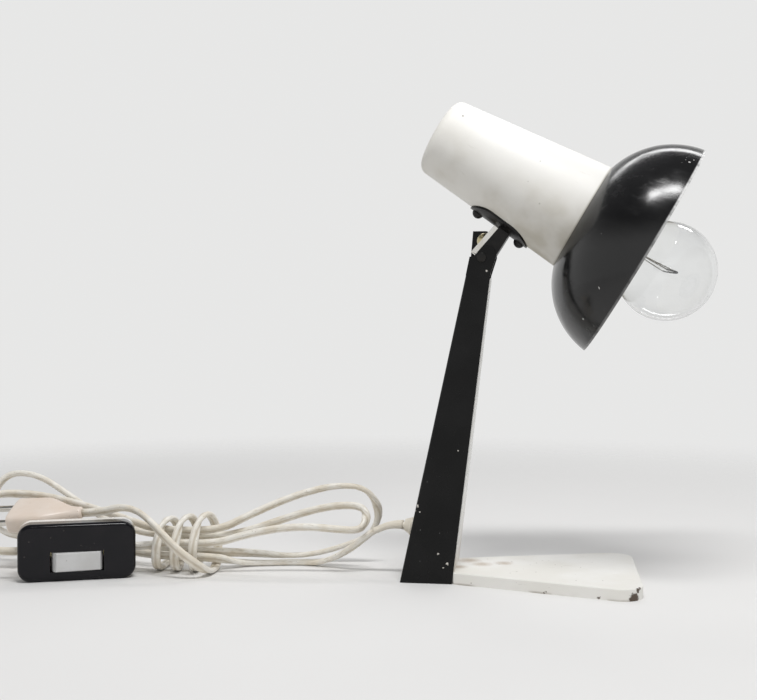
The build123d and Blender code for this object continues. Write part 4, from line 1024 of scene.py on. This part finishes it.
# %% Finish: clear glass
tree, shader = finish("clear_bulb_glass", 0.0, ior=1.46, Transmission_Weight=1.0)
haze = put(tree, "ShaderNodeTexNoise", {"Vector": place(tree), "Scale": 90.0, "Detail": 3.0}).outputs[0]
tint = blended(tree, ramp(tree, haze, 0.4, 0.8), (0.985, 0.99, 0.99), (0.965, 0.97, 0.968))
tree.links.new(tint, shader.inputs["Base Color"])
tree.links.new(ramp(tree, haze, 0.55, 0.85, 0.0, 0.012), shader.inputs["Roughness"])
print("clear_bulb_glass has", len(tree.nodes), "nodes")

# %% [markdown]
# Now each piece gets its finish. Most follow the slot that the record gives them; a few pieces of
# one slot differ on the real lamp, such as the white barrel and the white base plate, and are
# named one by one.

# %% Dress the pieces
by_slot = {
    "white_enamel": "white_barrel", "black_enamel": "black_fittings", "black_steel": "black_fittings",
    "steel": "plain_steel", "nickel": "nickel_plate", "brass": "yellowed_brass",
    "aluminium": "cap_aluminium", "ceramic": "glazed_ceramic", "tungsten": "tungsten_wire",
    "clear_glass": "clear_bulb_glass", "black_plastic": "black_phenolic", "white_plastic": "white_urea",
    "grey_plastic": "grey_rocker", "cream_plastic": "cream_vinyl", "cord_cream": "cord_jacket",
}
by_piece = {
    "base_plate": "white_base", "column_front": "white_front", "column_shell": "black_column",
    "bell": "bell_enamel", "clamp_leaf": "leaf_steel", "holder_body": "holder_phenolic",
    "holder_ring": "holder_phenolic", "cord_grommet": "grommet_cream", "column_cord": "grommet_cream",
    "column_cores": "grommet_cream", "head_cores": "grommet_cream",
}


def dress(piece, name):
    """Gives a piece one finish in its first material slot."""
    if piece.data.materials:
        piece.data.materials[0] = finishes[name]
    else:
        piece.data.materials.append(finishes[name])


for part in frame["record"]["subparts"]:
    dress(nodes[part["node"]], by_piece.get(part["node"], by_slot[part["material_slot"]]))
for piece, name in (
    (lamp_cord, "cord_jacket"), (plug_cord, "cord_jacket"), (plug_shell, "cream_vinyl"),
    (collar, "grommet_cream"), (bulb_cap, "cap_aluminium"), (filament, "tungsten_wire"),
):
    dress(piece, name)
print("finishes:", len(finishes))

# %% [markdown]
# The lamp stands on a plain pale floor that fades into the background, so no horizon cuts behind
# it. The fade is transparency by distance from the lamp: the floor keeps its shadows near the
# object and is gone a metre away, where the world's own pale grey takes over. From below it is
# clear, so that the underside of the base can be looked at.

# %% Floor and background
floor_radius, floor_rings = 3.0, 60
fade_centre, fade_from, fade_to = (-0.08, 0.0, 0.0), 0.34, 0.95
radii = np.linspace(floor_radius, 0.0005, floor_rings)
floor = surface("studio_floor", turned(np.zeros(floor_rings), radii)[..., [1, 2, 0]], caps=(False, True))
pale_floor = bpy.data.materials.new("pale_floor")
pale_floor.use_nodes = True
tree = pale_floor.node_tree
shader = tree.nodes["Principled BSDF"]
shader.inputs["Roughness"].default_value = 0.85
shader.inputs["Specular IOR Level"].default_value = 0.1
at = place(tree)
grain = put(tree, "ShaderNodeTexNoise", {"Vector": at, "Scale": 9.0, "Detail": 3.0}).outputs[0]
colour = blended(tree, grain, (0.80, 0.795, 0.785), (0.78, 0.775, 0.765))
tree.links.new(colour, shader.inputs["Base Color"])
distance = put(tree, "ShaderNodeVectorMath", {0: at, 1: fade_centre}, operation="DISTANCE").outputs["Value"]
clear = put(tree, "ShaderNodeBsdfTransparent").outputs[0]
from_below = put(tree, "ShaderNodeNewGeometry").outputs["Backfacing"]
gone = arithmetic(tree, "MAXIMUM", ramp(tree, distance, fade_from, fade_to), from_below)
fade = put(tree, "ShaderNodeMixShader", {0: gone, 1: shader.outputs[0], 2: clear})
tree.links.new(fade.outputs[0], tree.nodes["Material Output"].inputs["Surface"])
floor.data.materials.append(pale_floor)
print("floor fades from", fade_from, "to", fade_to, "m")

# %% [markdown]
# The air of the studio does three jobs, and Light Path tells the rays apart. The camera sees one
# pale grey. Gloss and glass see that grey at the horizon and a darker ceiling above it, which is
# what makes black enamel look black and gives the bulb its outline. Everything else gets an even,
# weaker light, so that the lamps still cast shadows.

# %% World
seen_grey, horizon, ceiling = (0.80, 0.80, 0.795), (0.78, 0.78, 0.775), (0.16, 0.16, 0.165)
even_light = (0.50, 0.50, 0.505)
world = bpy.data.worlds.new("studio_air")
world.use_nodes = True
bpy.context.scene.world = world
tree = world.node_tree
ray = put(tree, "ShaderNodeLightPath").outputs
room = blended(tree, ramp(tree, parted(tree, place(tree))[2], 0.25, 0.70), horizon, ceiling)
mirrored = arithmetic(tree, "MAXIMUM", ray["Is Glossy Ray"], ray["Is Transmission Ray"])
air = blended(tree, ray["Is Camera Ray"], blended(tree, mirrored, even_light, room), seen_grey)
tree.links.new(air, tree.nodes["Background"].inputs["Color"])
print("world of", len(tree.nodes), "nodes")

# %% [markdown]
# The lights are soft boxes, as in a product studio. The place of each is read off a reflection:
# the broad highlight on the bell and the two small windows in the bulb need one box almost
# overhead on the camera's side, and the thin line along the bell's top a long box behind it.

# %% Soft boxes
def soft_box(name, spot, aim, size, power):
    """A rectangular area light of size (width, height) that faces a point."""
    data = bpy.data.lights.new(name, "AREA")
    data.shape = "RECTANGLE"
    data.size, data.size_y = size
    data.energy = power
    lamp = bpy.data.objects.new(name, data)
    lamp.location = spot
    lamp.rotation_euler = (Vector(aim) - Vector(spot)).to_track_quat("-Z", "Y").to_euler()
    bpy.context.scene.collection.objects.link(lamp)
    print(name, "of", power, "W at", spot)


shade_middle = (0.10, -0.02, 0.22)
soft_box("key_box", (0.125, -0.38, 1.02), shade_middle, size=(0.50, 0.14), power=6.0)
soft_box("back_strip", (0.14, 0.62, 0.86), shade_middle, size=(0.90, 0.12), power=1.7)
